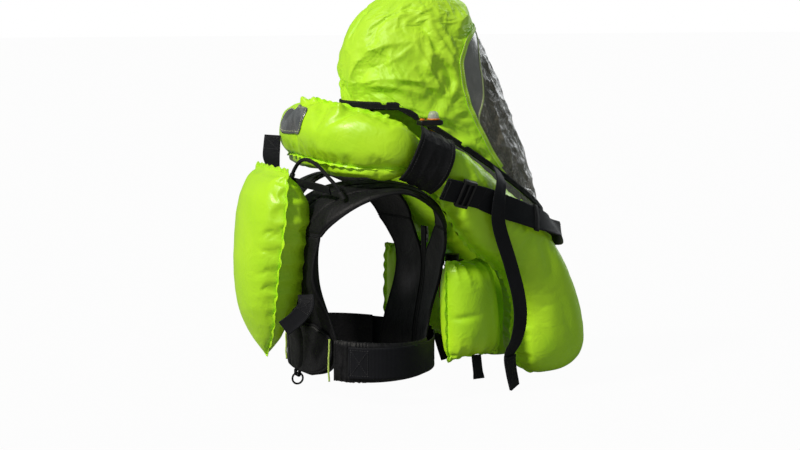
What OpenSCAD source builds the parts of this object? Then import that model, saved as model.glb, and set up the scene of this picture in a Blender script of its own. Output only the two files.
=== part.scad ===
// Inflated life vest with a spray and smoke hood, on a back harness.
// The wearer faces -Y, the wearer's left is +X, and the origin is on the wearer's neck axis,
// at the height of the shoulders. All sizes are in millimetres.

/* [Hood] */
// Height of the hood's crown above the neck origin
hood_top = 264; // [256:1:272]
// Half of the hood's width at the ears
hood_half_w = 107; // [102:1:109]
// Thickness of the hood's coated fabric, with its seams
hood_t = 1.6; // [1.2:0.1:2]
// Height of the black binding round the hood's hem
hem_h = 13; // [10:1:15]

/* [Bladders] */
// Half of the collar tube's width, from the neck outwards
collar_half_w = 45; // [42:1:46]
// Half of the collar tube's height
collar_half_h = 59; // [56:1:60]
// Half of a chest bladder's width
chest_half_w = 75; // [70:1:76]
// Half of a chest bladder's thickness
chest_half_t = 59; // [55:1:60]
// Half of the back bladder's width
back_half_w = 118; // [108:1:120]

/* [Harness] */
// Half of the wearer's chest depth
torso_half_d = 115; // [113:1:115]
// Thickness of the vest's mesh and foam
vest_t = 6; // [4:0.5:6]
// Width of the chest webbing
chest_web_w = 38; // [34:1:38]
// Width of the bladder retaining webbing
lobe_web_w = 25; // [20:1:26]
// Thickness of the webbing
web_t = 2; // [1.5:0.1:2.2]

/* [Hardware] */
// Radius of the gas cylinder
cylinder_r = 14; // [12:0.5:14.5]
// Length of the gas cylinder's body
cylinder_l = 96; // [80:1:100]
// Radius of the oral inflation tube
oral_r = 7; // [6:0.5:7.5]

/* [Hidden] */
$fn = 48;

lime = [0.72, 0.95, 0.12];
black = [0.05, 0.05, 0.06];
silver = [0.6, 0.6, 0.63];
orange = [0.95, 0.45, 0.08];

// ---- Vectors, splines and closed meshes ----
function unit(v) = v / norm(v);
function mix(a, b, t) = a + (b - a) * t;
function clamp01(t) = min(1, max(0, t));
function smooth(t) = let(c = clamp01(t)) c * c * (3 - 2 * c);
// A signed power, for the round-cornered sections of the bladders.
function spow(v, p) = sign(v) * pow(abs(v), p);
// The point at t, from 0 to len - 1, on a Catmull-Rom curve through a list of points.
function on_curve(pts, t) =
    let(
        n = len(pts) - 1,
        i = min(n - 1, max(0, floor(t))),
        f = t - i,
        b = pts[i],
        c = pts[i + 1],
        a = i > 0 ? pts[i - 1] : 2 * b - c,
        d = i < n - 1 ? pts[i + 2] : 2 * c - b
    )
    0.5 * (2 * b + (c - a) * f + (2 * a - 5 * b + 4 * c - d) * f * f
        + (3 * b - a - 3 * c + d) * f * f * f);
function curve(pts, steps) =
    [for (k = [0:steps]) on_curve(pts, (len(pts) - 1) * k / steps)];
function mean(pts, i = 0) = i == len(pts) - 1 ? pts[i] / len(pts) : pts[i] / len(pts) + mean(pts, i + 1);

// A closed solid through rings of the same number of points. Each ring runs anticlockwise
// seen from the last ring, and the ends close on their middles.
module loft(rings) {
    n = len(rings);
    m = len(rings[0]);
    points = concat([for (r = rings) each r], [mean(rings[0]), mean(rings[n - 1])]);
    faces = concat(
        [for (i = [0:n - 2]) for (j = [0:m - 1]) [i * m + j, (i + 1) * m + j, (i + 1) * m + (j + 1) % m]],
        [for (i = [0:n - 2]) for (j = [0:m - 1])
            [i * m + j, (i + 1) * m + (j + 1) % m, i * m + (j + 1) % m]],
        [for (j = [0:m - 1]) [n * m, j, (j + 1) % m]],
        [for (j = [0:m - 1]) [n * m + 1, (n - 1) * m + (j + 1) % m, (n - 1) * m + j]]
    );
    polyhedron(points, faces);
}

// A closed shell between an outer and an inner grid of points, rows by columns. When its last
// row is one point, that row is closed on it.
module shell(outer, inner, pointed = false) {
    n = len(outer) - 1;
    m = len(outer[0]) - 1;
    last = pointed ? n - 1 : n;
    half = (last + 1) * (m + 1) + (pointed ? 1 : 0);
    points = concat(
        [for (i = [0:last]) each outer[i]], pointed ? [outer[n][0]] : [],
        [for (i = [0:last]) each inner[i]], pointed ? [inner[n][0]] : []
    );
    quads = concat(
        [for (i = [0:n - 1]) for (j = [0:m - 1]) [
            corner(0, i, j, n, m, last, half), corner(0, i + 1, j, n, m, last, half),
            corner(0, i + 1, j + 1, n, m, last, half), corner(0, i, j + 1, n, m, last, half)]],
        [for (i = [0:n - 1]) for (j = [0:m - 1]) [
            corner(1, i, j, n, m, last, half), corner(1, i, j + 1, n, m, last, half),
            corner(1, i + 1, j + 1, n, m, last, half), corner(1, i + 1, j, n, m, last, half)]],
        [for (i = [0:n - 1]) for (e = [[0, 1, 0], [m, 0, 1]]) [
            corner(e[1], i, e[0], n, m, last, half), corner(e[1], i + 1, e[0], n, m, last, half),
            corner(e[2], i + 1, e[0], n, m, last, half), corner(e[2], i, e[0], n, m, last, half)]],
        [for (j = [0:m - 1]) for (e = pointed ? [[0, 0, 1]] : [[0, 0, 1], [n, 1, 0]]) [
            corner(e[1], e[0], j, n, m, last, half), corner(e[1], e[0], j + 1, n, m, last, half),
            corner(e[2], e[0], j + 1, n, m, last, half), corner(e[2], e[0], j, n, m, last, half)]]
    );
    triangles = [for (q = quads) each [[q[0], q[1], q[2]], [q[0], q[2], q[3]]]];
    polyhedron(points, [for (t = triangles) if (t[0] != t[1] && t[1] != t[2] && t[2] != t[0]) t]);
}
function corner(side, i, j, n, m, last, half) =
    side * half + (i > last ? (last + 1) * (m + 1) : i * (m + 1) + j);

// A flat strip of webbing along points, with its face turned towards the directions in outs.
module ribbon(points, outs, width, thick) {
    n = len(points) - 1;
    along = [for (i = [0:n]) unit(points[min(n, i + 1)] - points[max(0, i - 1)])];
    loft([for (i = [0:n])
        let(
            w = unit(cross(outs[i], along[i])) * width / 2,
            o = unit(cross(along[i], w)) * thick / 2
        )
        [points[i] - w - o, points[i] + w - o, points[i] + w + o, points[i] - w + o]]);
}

// A round cord or tube along points.
module cord(points, r, sides = 8) {
    n = len(points) - 1;
    along = [for (i = [0:n]) unit(points[min(n, i + 1)] - points[max(0, i - 1)])];
    side = [for (d = along) unit(cross(d, abs(d[0]) > 0.9 ? [0, 0, 1] : [1, 0.13, 0.07]))];
    loft([for (i = [0:n]) let(v = cross(along[i], side[i]))
        [for (j = [0:sides - 1]) points[i] + r * (cos(360 * j / sides) * side[i] + sin(360 * j / sides) * v)]]);
}

module mirrored(left) {
    if (left) mirror([1, 0, 0]) children();
    else children();
}

// ---- Bladders: tubes with round-cornered sections along a middle line ----
section_sides = 20;
section_power = 0.82;
// A ring's lower half is flattened or drawn out by rear, for the chest bladder's rear edge.
function tube_ring(c, along, up, half_w, half_h, rear = 1) =
    let(u = unit(cross(along, up)), v = cross(u, along))
    [for (j = [0:section_sides - 1]) let(a = -360 * j / section_sides, h = sin(a) < 0 ? half_h * rear : half_h)
        c + u * half_w * spow(cos(a), section_power) + v * h * spow(sin(a), section_power)];
function tube_point(line, t, up, half_w, half_h, a, off) =
    let(
        c = on_curve(line, t),
        along = unit(on_curve(line, t + 0.02) - on_curve(line, t - 0.02)),
        u = unit(cross(along, up)),
        v = cross(u, along)
    )
    c + u * (half_w + off) * spow(cos(a), section_power) + v * (half_h + off) * spow(sin(a), section_power);

// The collar's and the right chest bladder's middle lines share their shoulder point.
shoulder_point = [-146, 38, -2];
collar_line = [
    [-shoulder_point[0], shoulder_point[1], shoulder_point[2]], [142, 88, 15], [94, 138, 25],
    [0, 155, 28], [-94, 138, 25], [-142, 88, 15], shoulder_point
];
chest_line = [
    shoulder_point, [-141, -26, -35], [-121, -92, -96], [-101, -150, -157],
    [-89, -188, -224], [-83, -208, -296], [-80, -213, -373]
];
// How far each bladder stays from the middle of the shoulder band, as a share of a segment.
neck_gap = 0.1;
collar_rings = 26;
chest_rings = 24;

module collar_bladder() {
    n = len(collar_line) - 1;
    color(lime) loft([for (k = [0:collar_rings])
        let(
            s = k / collar_rings,
            t = mix(neck_gap, n - neck_gap, s),
            near_end = min(s, 1 - s) * n,
            fill = mix(0.6, 1, smooth(near_end / 0.85)),
            along = unit(on_curve(collar_line, t + 0.02) - on_curve(collar_line, t - 0.02))
        )
        tube_ring(on_curve(collar_line, t), along, [0, 0, 1], collar_half_w * fill,
            mix(50, collar_half_h, smooth(near_end / 2)) * fill)]);
}

// Half thickness, half width and rear share of the chest bladder at each point of its line.
chest_ws = [for (w = [0.75, 0.77, 0.86, 0.95, 1, 1.02, 1]) w * chest_half_t];
chest_hs = [for (h = [0.64, 0.66, 0.77, 0.89, 0.98, 1.02, 1]) h * chest_half_w];
chest_rears = [1, 0.92, 1.08, 0.68, 0.6, 0.78, 0.86];
chest_up = [0, -1, 0.12];
function chest_end(s) = pow(1 - pow(clamp01((s - 0.86) / 0.145), 2.4), 1 / 2.4);
module chest_bladder(left) {
    n = len(chest_line) - 1;
    color(lime) mirrored(left) loft([for (k = [0:chest_rings])
        let(
            s = 1 - pow(1 - k / chest_rings, 1.35),
            t = mix(neck_gap, n, s),
            fill = mix(0.62, 1, smooth(t / 0.8)) * chest_end(s),
            along = unit(on_curve(chest_line, min(n, t + 0.02)) - on_curve(chest_line, t - 0.02))
        )
        tube_ring(on_curve(chest_line, t), along, chest_up, on_curve(chest_ws, t) * fill,
            on_curve(chest_hs, t) * fill, on_curve(chest_rears, t))]);
}
// A point off the outside of the right chest bladder, at an angle from its outer side to its front.
function on_chest(t, a, off) =
    tube_point(chest_line, t, chest_up, on_curve(chest_ws, t), on_curve(chest_hs, t), a, off);
function off_chest(t, a) = unit(on_chest(t, a, 12) - on_chest(t, a, 0));

// The inner bladder is an upright pillow at the side of the chest, behind the chest bladder.
inner_top = -173;
inner_bottom = -328;
inner_turn = 20;
module inner_bladder(left) {
    rows = 14;
    color(lime) mirrored(left) loft([for (k = [0:rows])
        let(
            s = 1 - cos(180 * k / rows),
            z = mix(inner_top, inner_bottom, s / 2),
            fill = max(0.12, pow(1 - pow(abs(s - 1), 3.2), 0.42)),
            long = mix(45, 57, s / 2) * mix(0.8, 1, fill)
        )
        [for (j = [0:section_sides - 1])
            let(a = -360 * j / section_sides, x = 41 * fill * spow(cos(a), 0.9), y = long * spow(sin(a), 0.9))
            [-110 + x * cos(inner_turn) - y * sin(inner_turn),
             mix(-60, -72, s / 2) + x * sin(inner_turn) + y * cos(inner_turn), z]]]);
}

// The back bladder is a shield-shaped pillow. Its front hollows round the wearer's spine.
back_rows = 16;
back_top = -15;
back_bottom = -328;
// Half width, rear seam and fullness of the back bladder, evenly spaced from its top down.
back_ws = [for (w = [0.66, 0.79, 0.835, 0.815, 0.77, 0.7, 0.6, 0.4, 0.04]) w * back_half_w];
back_ys = [238, 242, 246, 250, 253, 255, 256, 255, 253];
back_fills = [0.08, 0.72, 0.95, 1, 1, 0.93, 0.76, 0.45, 0.06];
module back_bladder() {
    color(lime) loft([for (k = [0:back_rows])
        let(
            t = 8 * k / back_rows,
            z = mix(back_top, back_bottom, k / back_rows),
            w = on_curve(back_ws, t),
            y = on_curve(back_ys, t),
            f = on_curve(back_fills, t)
        )
        concat(
            [for (j = [0:10]) let(s = -cos(180 * j / 10))
                [w * s, y + 1.5 + 44 * f * pow(max(0, 1 - s * s), 0.62), z]],
            [for (j = [0:10]) let(s = cos(180 * j / 10))
                [w * s, y - 1.5 - f * pow(max(0, 1 - pow(s, 6)), 0.8) * (25 + 32 * pow(abs(s), 1.5)), z]]
        )]);
}

// ---- Hood: level sections, each an oval between a rear and a front profile ----
brow_z = 206;
hem_front_z = -118;
hood_rear_y = 104;
hood_axis_y = -20;
function dome(z, from, to, power) = pow(max(0, 1 - pow(clamp01((z - from) / (to - from)), power)), 1 / power);
function rear_y(z) = mix(hood_axis_y, hood_rear_y, dome(z, 130, hood_top, 2));
function visor_y(z) = let(t = (z - hem_front_z) / (brow_z - hem_front_z))
    mix(-244, -110, t) - 9 * sin(180 * clamp01(t));
function front_y(z) = z < brow_z ? visor_y(z) : mix(hood_axis_y, -110, dome(z, brow_z, hood_top, 2));
function side_x(z) = z > 100 ? hood_half_w * dome(z, 100, hood_top, 2.4)
    : hood_half_w + 11 * sin(90 * clamp01((100 - z) / 150));
// The point of the hood at an angle from the nape, positive to the wearer's left, and a height.
function hood_point(a, z, off) =
    let(
        mid = (rear_y(z) + front_y(z)) / 2,
        half = (rear_y(z) - front_y(z)) / 2,
        lift = off * pow(clamp01((z - 100) / (hood_top - 100)), 2)
    )
    [sin(a) * (side_x(z) + off), mid + cos(a) * (half + off), z + lift];
// The hem follows the top of the bladders, level at the nape and sloping down to the chest.
function hem_plane(y) = 71 - 0.654 * max(0, 48 - y);
function hem_z(a, z = 0, turns = 8) = turns == 0 ? z
    : hem_z(a, hem_plane(hood_point(a, z, 0)[1]), turns - 1);
// The visor's edge, as angles from the nape and heights, from the hem up to the brow.
visor_corner = 131;
visor_edge = [
    [visor_corner, hem_z(visor_corner)], [124, -52], [113, -12], [105, 50], [103, 92],
    [108, 150], [132, 190], [180, brow_z]
];
// A patch of the hood between four edges, in angles and heights, w from the hem to the top.
function patch(f, w, bottom, right, left, top) =
    (1 - w) * bottom + w * top + (1 - f) * left + f * right;

visor_rows = 14;
hood_rows = 18;
function fabric_right(w) =
    let(i = w * hood_rows)
    i <= visor_rows ? on_curve(visor_edge, (len(visor_edge) - 1) * i / visor_rows)
    : [180, mix(brow_z, hood_top, (i - visor_rows) / (hood_rows - visor_rows))];
function fabric_at(f, w) =
    let(
        bottom = [visor_corner * f, hem_z(visor_corner * f)],
        left = [0, mix(hem_z(0), hood_top, w)],
        right = fabric_right(w),
        top = [180 * f, hood_top],
        corners = (1 - f) * (1 - w) * [0, hem_z(0)] + f * (1 - w) * visor_edge[0]
            + (1 - f) * w * [0, hood_top] + f * w * [180, hood_top],
        p = patch(f, w, bottom, right, left, top) - corners
    )
    [p[0], min(hood_top, p[1])];
hood_cols = 16;
function panel_grid(off) = [for (i = [0:hood_rows]) [for (j = [0:hood_cols])
    let(p = fabric_at(j / hood_cols, i / hood_rows)) hood_point(-p[0], p[1], off)]];
module hood_panel(left) {
    color(lime) mirrored(left) shell(panel_grid(hood_t), panel_grid(0), pointed = true);
}

visor_cols = 16;
function visor_at(g, w) =
    let(
        edge = on_curve(visor_edge, (len(visor_edge) - 1) * w),
        front = [180, mix(hem_z(180), brow_z, w)],
        bottom = [mix(visor_corner, 180, g), hem_z(mix(visor_corner, 180, g))],
        top = [180, brow_z],
        corners = (1 - g) * (1 - w) * visor_edge[0] + g * (1 - w) * [180, hem_z(180)]
            + (1 - g) * w * top + g * w * top
    )
    (1 - w) * bottom + w * top + (1 - g) * edge + g * front - corners;
function visor_grid(off) = [for (i = [0:visor_rows]) [for (j = [0:visor_cols])
    let(g = 1 - abs(2 * j / visor_cols - 1), side = j * 2 > visor_cols ? 1 : -1,
        p = visor_at(g, i / visor_rows)) hood_point(side * p[0], p[1], off)]];
module visor() {
    color([0.5, 0.47, 0.43, 0.5]) shell(visor_grid(1.1), visor_grid(0.3), pointed = true);
}

// The seam tape lies outside the visor's edge, from one end of the hem over the brow.
seam_w = 9;
module visor_seam() {
    steps = 28;
    half = [for (k = [0:steps - 1]) on_curve(visor_edge, (len(visor_edge) - 1) * mix(0.25, 1, k / steps))];
    edge = concat([for (p = half) [-p[0], p[1]]], [[180, brow_z]],
        [for (k = [steps - 1:-1:0]) half[k]]);
    color(lime) ribbon([for (p = edge) hood_point(p[0], p[1], hood_t + 1.6)],
        [for (p = edge) hood_point(p[0], p[1], 20) - hood_point(p[0], p[1], 0)], seam_w, 1.2);
}

module hood_hem() {
    steps = 40;
    function hem_row(z_up, off) = [for (k = [0:steps]) let(a = mix(-180, 180, k / steps))
        hood_point(a, hem_z(a) + z_up, off)];
    outer = [hem_row(0, hood_t + 2.8), hem_row(hem_h, hood_t + 2.8)];
    inner = [hem_row(0, hood_t + 0.6), hem_row(hem_h, hood_t + 0.6)];
    n = steps;
    points = concat([for (k = [0:n - 1]) each [outer[0][k], outer[1][k], inner[1][k], inner[0][k]]]);
    color(black) polyhedron(points, [for (k = [0:n - 1]) for (c = [0:3])
        each [[k * 4 + c, ((k + 1) % n) * 4 + (c + 1) % 4, k * 4 + (c + 1) % 4],
              [k * 4 + c, ((k + 1) % n) * 4 + c, ((k + 1) % n) * 4 + (c + 1) % 4]]]);
}

// ---- Vest: panels on the wearer's torso, which is an upright oval with an arched top ----
torso_y = 84;
arch_z = -120;
vest_bottom = -352;
// The waist is slimmer than the chest.
function waist(z) = mix(1, 0.86, smooth((-190 - z) / 130));
function torso_a(z) = mix(168, 192, smooth((z + 260) / 120)) * waist(z);
function torso_n(z) = mix(2, 3, smooth((z + 260) / 120));
function torso_b(x, z) = torso_half_d * waist(z)
    * sqrt(max(0.02, 1 - pow(min(1, abs(x) / torso_a(z)), torso_n(z))));
function shoulder_z(x) = -36 - 0.1 * abs(x);
// s is 0 to 1 up the back, 1 to 2 over the shoulder, and 2 to 3 down the front.
function vest_point(x, s, off) =
    s <= 1 ? let(z = mix(vest_bottom, arch_z, s)) [x, torso_y + torso_b(x, z) + off, z]
    : s >= 2 ? let(z = mix(arch_z, vest_bottom, s - 2)) [x, torso_y - torso_b(x, z) - off, z]
    : let(a = 180 * (s - 1))
        [x, torso_y + (torso_b(x, arch_z) + off) * cos(a),
         arch_z + (shoulder_z(x) + off - arch_z) * sin(a)];
// A panel between two edges: each row gives s and the x of both edges.
module vest_panel(rows, off, thick, cols = 10, puff = 0) {
    function grid(o, p) = [for (r = rows) [for (j = [0:cols])
        vest_point(mix(r[1], r[2], j / cols), r[0], o + p * pow(sin(180 * clamp01(r[0] / 0.6 - 2 / 3)), 2)
            * pow(2 * j / cols - 1, 4))]];
    shell(grid(off, 0), grid(off + thick, puff));
}
function rows_of(edges, steps) = [for (k = [0:steps]) on_curve(edges, (len(edges) - 1) * k / steps)];

back_edges = [[0, -44, 44], [0.05, -84, 84], [0.14, -97, 97], [0.27, -101, 101], [0.45, -97, 97],
    [0.64, -98, 98], [0.85, -102, 102], [0.99, -108, 108]];
module back_panel() {
    color(black) vest_panel(rows_of(back_edges, 18), 1, vest_t - 2, puff = 9);
}
lumbar_edges = [[0.012, -40, 40], [0.05, -78, 78], [0.12, -92, 92], [0.28, -96, 96], [0.36, -70, 70]];
// The lumbar pad, with a webbing tab under it that has a round eye for the loop.
loop_pos = [0, 190, -358];
module lumbar_pad() {
    color(black) vest_panel(rows_of(lumbar_edges, 10), vest_t, 6);
    color(black) difference() {
        translate(loop_pos + [-6, -2, -5]) cube([12, 4, 11.4]);
        translate(loop_pos + [0, 4, 0]) rotate([90, 0, 0]) cylinder(r = 2.4, h = 8);
    }
}
yoke_edges = [[1.0, -112, -1], [1.14, -139, -3], [1.3, -160, -30], [1.42, -172, -62], [1.52, -176, -76],
    [1.66, -172, -80], [1.8, -160, -66], [2.0, -138, -52]];
module shoulder_yoke(left) {
    color(black) mirrored(left) vest_panel(rows_of(yoke_edges, 18), 1, vest_t - 2);
}
front_edges = [[2.01, -138, -50], [2.12, -116, -30], [2.25, -94, -9], [2.5, -84, -9],
    [2.75, -88, -9], [3.0, -96, -9]];
module front_panel(left) {
    color(black) mirrored(left) vest_panel(rows_of(front_edges, 14), 1, vest_t - 2);
}

// The belt goes round the torso's oval at the waist.
belt_z = -320;
belt_pad_h = 66;
function waist_point(a, z, off) = [sin(a) * (torso_a(-330) + off),
    torso_y + cos(a) * (torso_half_d * waist(-330) + off), z];
module belt_pad(left) {
    // From the lumbar pad's edge, round the side, to the front panel's edge.
    function grid(off) = [for (i = [0, 1]) [for (k = [0:14])
        waist_point(-mix(41, 132, k / 14), belt_z + (i - 0.5) * mix(belt_pad_h, 56, smooth(k / 14)), off)]];
    color(black) mirrored(left) shell(grid(14), grid(9));
}
belt_web_h = 50;
belt_web_off = 16.4;
belt_buckle_y = torso_y - torso_half_d * waist(belt_z) - vest_t - 12;
module belt_webbing(left) {
    // The left end stops short of the plug, which needs room to come out.
    angles = [for (k = [0:14]) mix(56, 158, k / 14)];
    run = left ? [80, 71] : [44, 24];
    color(black) mirrored(left) ribbon(
        concat([for (a = angles) waist_point(-a, belt_z, belt_web_off)], [for (x = run) [-x, belt_buckle_y, belt_z]]),
        concat([for (a = angles) [-sin(a), cos(a), 0]], [for (x = run) [0, -1, 0]]), belt_web_h, web_t);
}
// The spare webbing behind a plug, which crumples as the plug comes out.
slack_from = 38.4;
slack_len = 31.2;
module slack(y, z, h) {
    color(black) translate([slack_from, y - web_t / 2, z - h / 2]) cube([slack_len, web_t, h]);
}

// Lime piping on the seam between the lumbar panel and each belt pad.
module piping() {
    for (left = [false, true]) color(lime) mirrored(left)
        cord([for (k = [0:6]) let(z = mix(belt_z + 34, belt_z - 34, k / 6))
            waist_point(-mix(38.5, 39.5, abs(k - 4) / 4), z, 16)], 1.6, 8);
}

// The zip: two tapes of teeth between the front panels, with a slider that hangs on them.
zip_top = 2.03;
module front_zip() {
    for (left = [false, true]) mirrored(left) {
        color(black) vest_panel([for (k = [0:10]) [mix(zip_top, 2.99, k / 10), 0.5, 7.6]], 1.5, 2, cols = 2);
        color(silver) for (k = [1:34]) let(p = vest_point(2, mix(zip_top, 2.99, k / 35), 3.7))
            translate(p + [-1.4, -1.5, -1.5]) cube([2.8, 1.5, 3]);
    }
}
slider_pos = vest_point(0, zip_top, 6.2);
module zip_slider() {
    color(silver) translate(slider_pos) {
        translate([-5, -2.2, -14]) cube([10, 2.2, 13]);
        translate([-1.5, -4.2, -9]) cube([3, 2.1, 6]);
        translate([-3, -4.2, -28]) difference() {
            cube([6, 1.6, 20.5]);
            translate([3, 3, 4.5]) rotate([90, 0, 0]) cylinder(r = 1.6, h = 6);
        }
    }
}

// ---- Side release buckles: a socket, a plug and two prongs that squeeze in ----
// Modelled along X, with the socket at -X, the plug at +X and the webbing in the XZ plane.
buckle_t = 11;
prong_len = 27;
prong_root_x = 16.6;
// The webbing runs in the middle of a buckle that is this much wider on each side.
buckle_rim = 3;
module buckle_socket(h) {
    color(black) difference() {
        translate([-24, -buckle_t / 2, -h / 2 - buckle_rim]) cube([42, buckle_t, h + 2 * buckle_rim]);
        translate([-14, -buckle_t / 2 + 2.4, -h / 2 - 4]) cube([33, buckle_t - 4.8, h + 8]);
        translate([-21.5, -buckle_t, -h / 2 - 0.5]) cube([3, buckle_t * 2, h + 1]);
    }
}
module buckle_plug(h) {
    color(black) {
        difference() {
            translate([19, -buckle_t / 2 + 1, -h / 2 - buckle_rim]) cube([16, buckle_t - 2, h + 2 * buckle_rim]);
            translate([28, -buckle_t, -h / 2 - 0.5]) cube([3, buckle_t * 2, h + 1]);
        }
        translate([-11, -2.6, -3]) cube([30.5, 5.2, 6]);
    }
}
// A prong turns about an axis along Y at its root, inside the plug's shoulder.
module buckle_prong(h, side) {
    root = [prong_root_x, 0, side * (h / 2 - buckle_rim)];
    color(black) {
        translate(root) rotate([90, 0, 0]) cylinder(r = 2.2, h = 5, center = true);
        translate([root[0] - prong_len, -2.5, root[2] - 1.6]) cube([prong_len, 5, 3.2]);
        translate([root[0] - 24, -2.5, side > 0 ? root[2] : root[2] - 6]) cube([13, 5, 6]);
    }
}
chest_buckle = [0, -243, -144];
module at_chest() { translate(chest_buckle) children(); }
module at_belt() { translate([0, belt_buckle_y, belt_z]) children(); }

// ---- Straps that hold the bladders ----
// The shoulder band wraps the bladder's waist on the shoulder and ends on the yoke.
band_w = 60;
module shoulder_band(left) {
    along = unit([0.02, -0.9, -0.42]);
    u = unit(cross(along, [0, 0, 1]));
    v = cross(u, along);
    rays = [for (k = [0:14]) let(a = mix(66, -66, k / 14)) u * 50 * spow(cos(a), 0.85) + v * 47 * spow(sin(a), 0.85)];
    color(black) mirrored(left) ribbon([for (r = rays) shoulder_point + r], rays, band_w, 2.4);
}

// The chest strap leaves the band, runs straight through its adjuster, then round the
// bladder to the front.
strap_straight = [on_chest(0.62, -20, 10), on_chest(1.28, 2, 10)];
strap_spots = [[1.55, 10, 6], [1.8, 20, 5], [2.1, 32, 5], [2.4, 44, 5], [2.7, 58, 5], [2.95, 72, 6], [3.12, 84, 8]];
module chest_strap(left) {
    end = left ? 71 : 24;
    mid = [for (p = strap_spots) on_chest(p[0], p[1], p[2])];
    run = concat([strap_straight[0] - 9 * adjuster_dir, strap_straight[0], strap_straight[0] + 4 * adjuster_dir,
        strap_straight[1] - 4 * adjuster_dir, strap_straight[1]], mid,
        [[-90, -243, -139], [-(end + 88) / 2, chest_buckle[1], chest_buckle[2]],
         [-end, chest_buckle[1], chest_buckle[2]]]);
    outs = concat([for (k = [0:4]) adjuster_out],
        [for (p = strap_spots) off_chest(p[0], p[1])], [[-0.35, -1, 0.1], [0, -1, 0], [0, -1, 0]]);
    color(black) mirrored(left) ribbon(run, outs, chest_web_w, web_t);
}
// The ladder-lock adjuster: a frame round the chest strap, with two cross bars in front.
adjuster_dir = unit(strap_straight[1] - strap_straight[0]);
adjuster_out = off_chest(0.95, -8);
module strap_adjuster(left) {
    d = adjuster_dir;
    w = unit(cross(adjuster_out, d));
    o = cross(d, w);
    c = mix(strap_straight[0], strap_straight[1], 0.5);
    color(black) mirrored(left) multmatrix([
        [d[0], o[0], w[0], c[0]], [d[1], o[1], w[1], c[1]], [d[2], o[2], w[2], c[2]], [0, 0, 0, 1]])
        difference() {
            translate([-11, -4.5, -chest_web_w / 2 - 4]) cube([22, 9, chest_web_w + 8]);
            translate([-12, -web_t / 2 - 0.8, -chest_web_w / 2 - 1]) cube([24, web_t + 1.6, chest_web_w + 2]);
            for (x = [-7.5, 1.5]) translate([x, 0, -chest_web_w / 2 + 1]) cube([6, 9, chest_web_w - 2]);
        }
}
// The retaining strap goes from the bladder's top, over the chest strap, down both bladders.
lobe_strap_line = [
    on_chest(1.36, 74, 5), on_chest(1.42, 44, 8), on_chest(1.52, 14, 14), [-185, -82, -108],
    [-174, -108, -172], [-168, -126, -226], [-163, -132, -266], [-153, -130, -301],
    [-141, -124, -326], [-134, -129, -352], [-130, -138, -383]
];
lobe_strap_outs = [off_chest(1.36, 74), off_chest(1.42, 44), off_chest(1.52, 14), [-1, -0.1, 0],
    [-1, -0.1, 0], [-1, -0.1, 0], [-1, -0.1, 0], [-1, -0.2, -0.4], [-1, -0.3, -0.3], [-1, -0.5, 0],
    [-1, -0.6, 0]];
module lobe_strap(left) {
    color(black) mirrored(left) {
        ribbon(curve(lobe_strap_line, 40), curve(lobe_strap_outs, 40), lobe_web_w, web_t);
        // The end of the strap's other leg, below the inner bladder.
        ribbon([[-121, -78, -332], [-122, -78, -348], [-123, -79, -366]],
            [for (i = [0:2]) [-1, 0.3, 0]], 16, web_t);
    }
}

// The collar strap comes down the collar's rear at the left and runs under it to the yoke.
module collar_strap() {
    down = [[80, 196, 26], [80, 199, 8], [79, 201, -12], [78, 198, -30], [76, 190, -44]];
    run = [[78, 186, -47], [40, 198, -44], [0, 203, -43], [-40, 199, -43], [-84, 186, -46], [-112, 174, -50]];
    color(black) ribbon(curve(down, 12), curve([[0.3, 1, 0], [0.3, 1, 0], [0.3, 1, 0], [0.3, 1, -0.5],
        [0.3, 0.7, -1]], 12), chest_web_w, web_t);
    color(black) ribbon(curve(run, 14), [for (i = [0:14]) [0, 1, -0.35]], 14, web_t);
}
becket_line = [[-28, 209, -38], [-36, 206, -22], [-52, 202, -8], [-72, 197, -4], [-94, 188, -12],
    [-112, 178, -28], [-126, 168, -44], [-132, 160, -60]];
module becket_cord() {
    color(black) cord(curve(becket_line, 18), 3, 8);
}
// A hook and loop tab reaches from the back panel to the back bladder's lower edge.
module back_tab() {
    line = [[-92, 208, -214], [-98, 211, -232], [-94, 224, -250], [-79, 241, -268]];
    color(black) ribbon(curve(line, 8), [for (i = [0:8]) [-0.8, 0.5, 0.1]], 26, web_t);
}
// The lumbar loop hangs from its tab: a cord ring, open in the middle.
module lumbar_loop() {
    color(black) translate(loop_pos - [0, 0, 8.5]) rotate([0, 90, 0])
        rotate_extrude($fn = 24) translate([9, 0]) circle(r = 1.6, $fn = 16);
}

// Retroreflective tape: one patch on the collar's rear and one on each chest bladder.
module reflective_patches() {
    function rear_patch(off) = [for (i = [0:6]) [for (j = [0:10])
        tube_point(collar_line, mix(2.52, 3.4, j / 10), [0, 0, 1], collar_half_w, collar_half_h,
            mix(2, 52, i / 6), off)]];
    color(silver) shell(rear_patch(3.6), rear_patch(2.4));
    function chest_patch(off) = [for (i = [0:6]) [for (j = [0:6])
        on_chest(mix(4.95, 4.3, i / 6), mix(66, 112, j / 6), off)]];
    for (left = [false, true]) color(silver) mirrored(left) shell(chest_patch(3.6), chest_patch(2.4));
}

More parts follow.
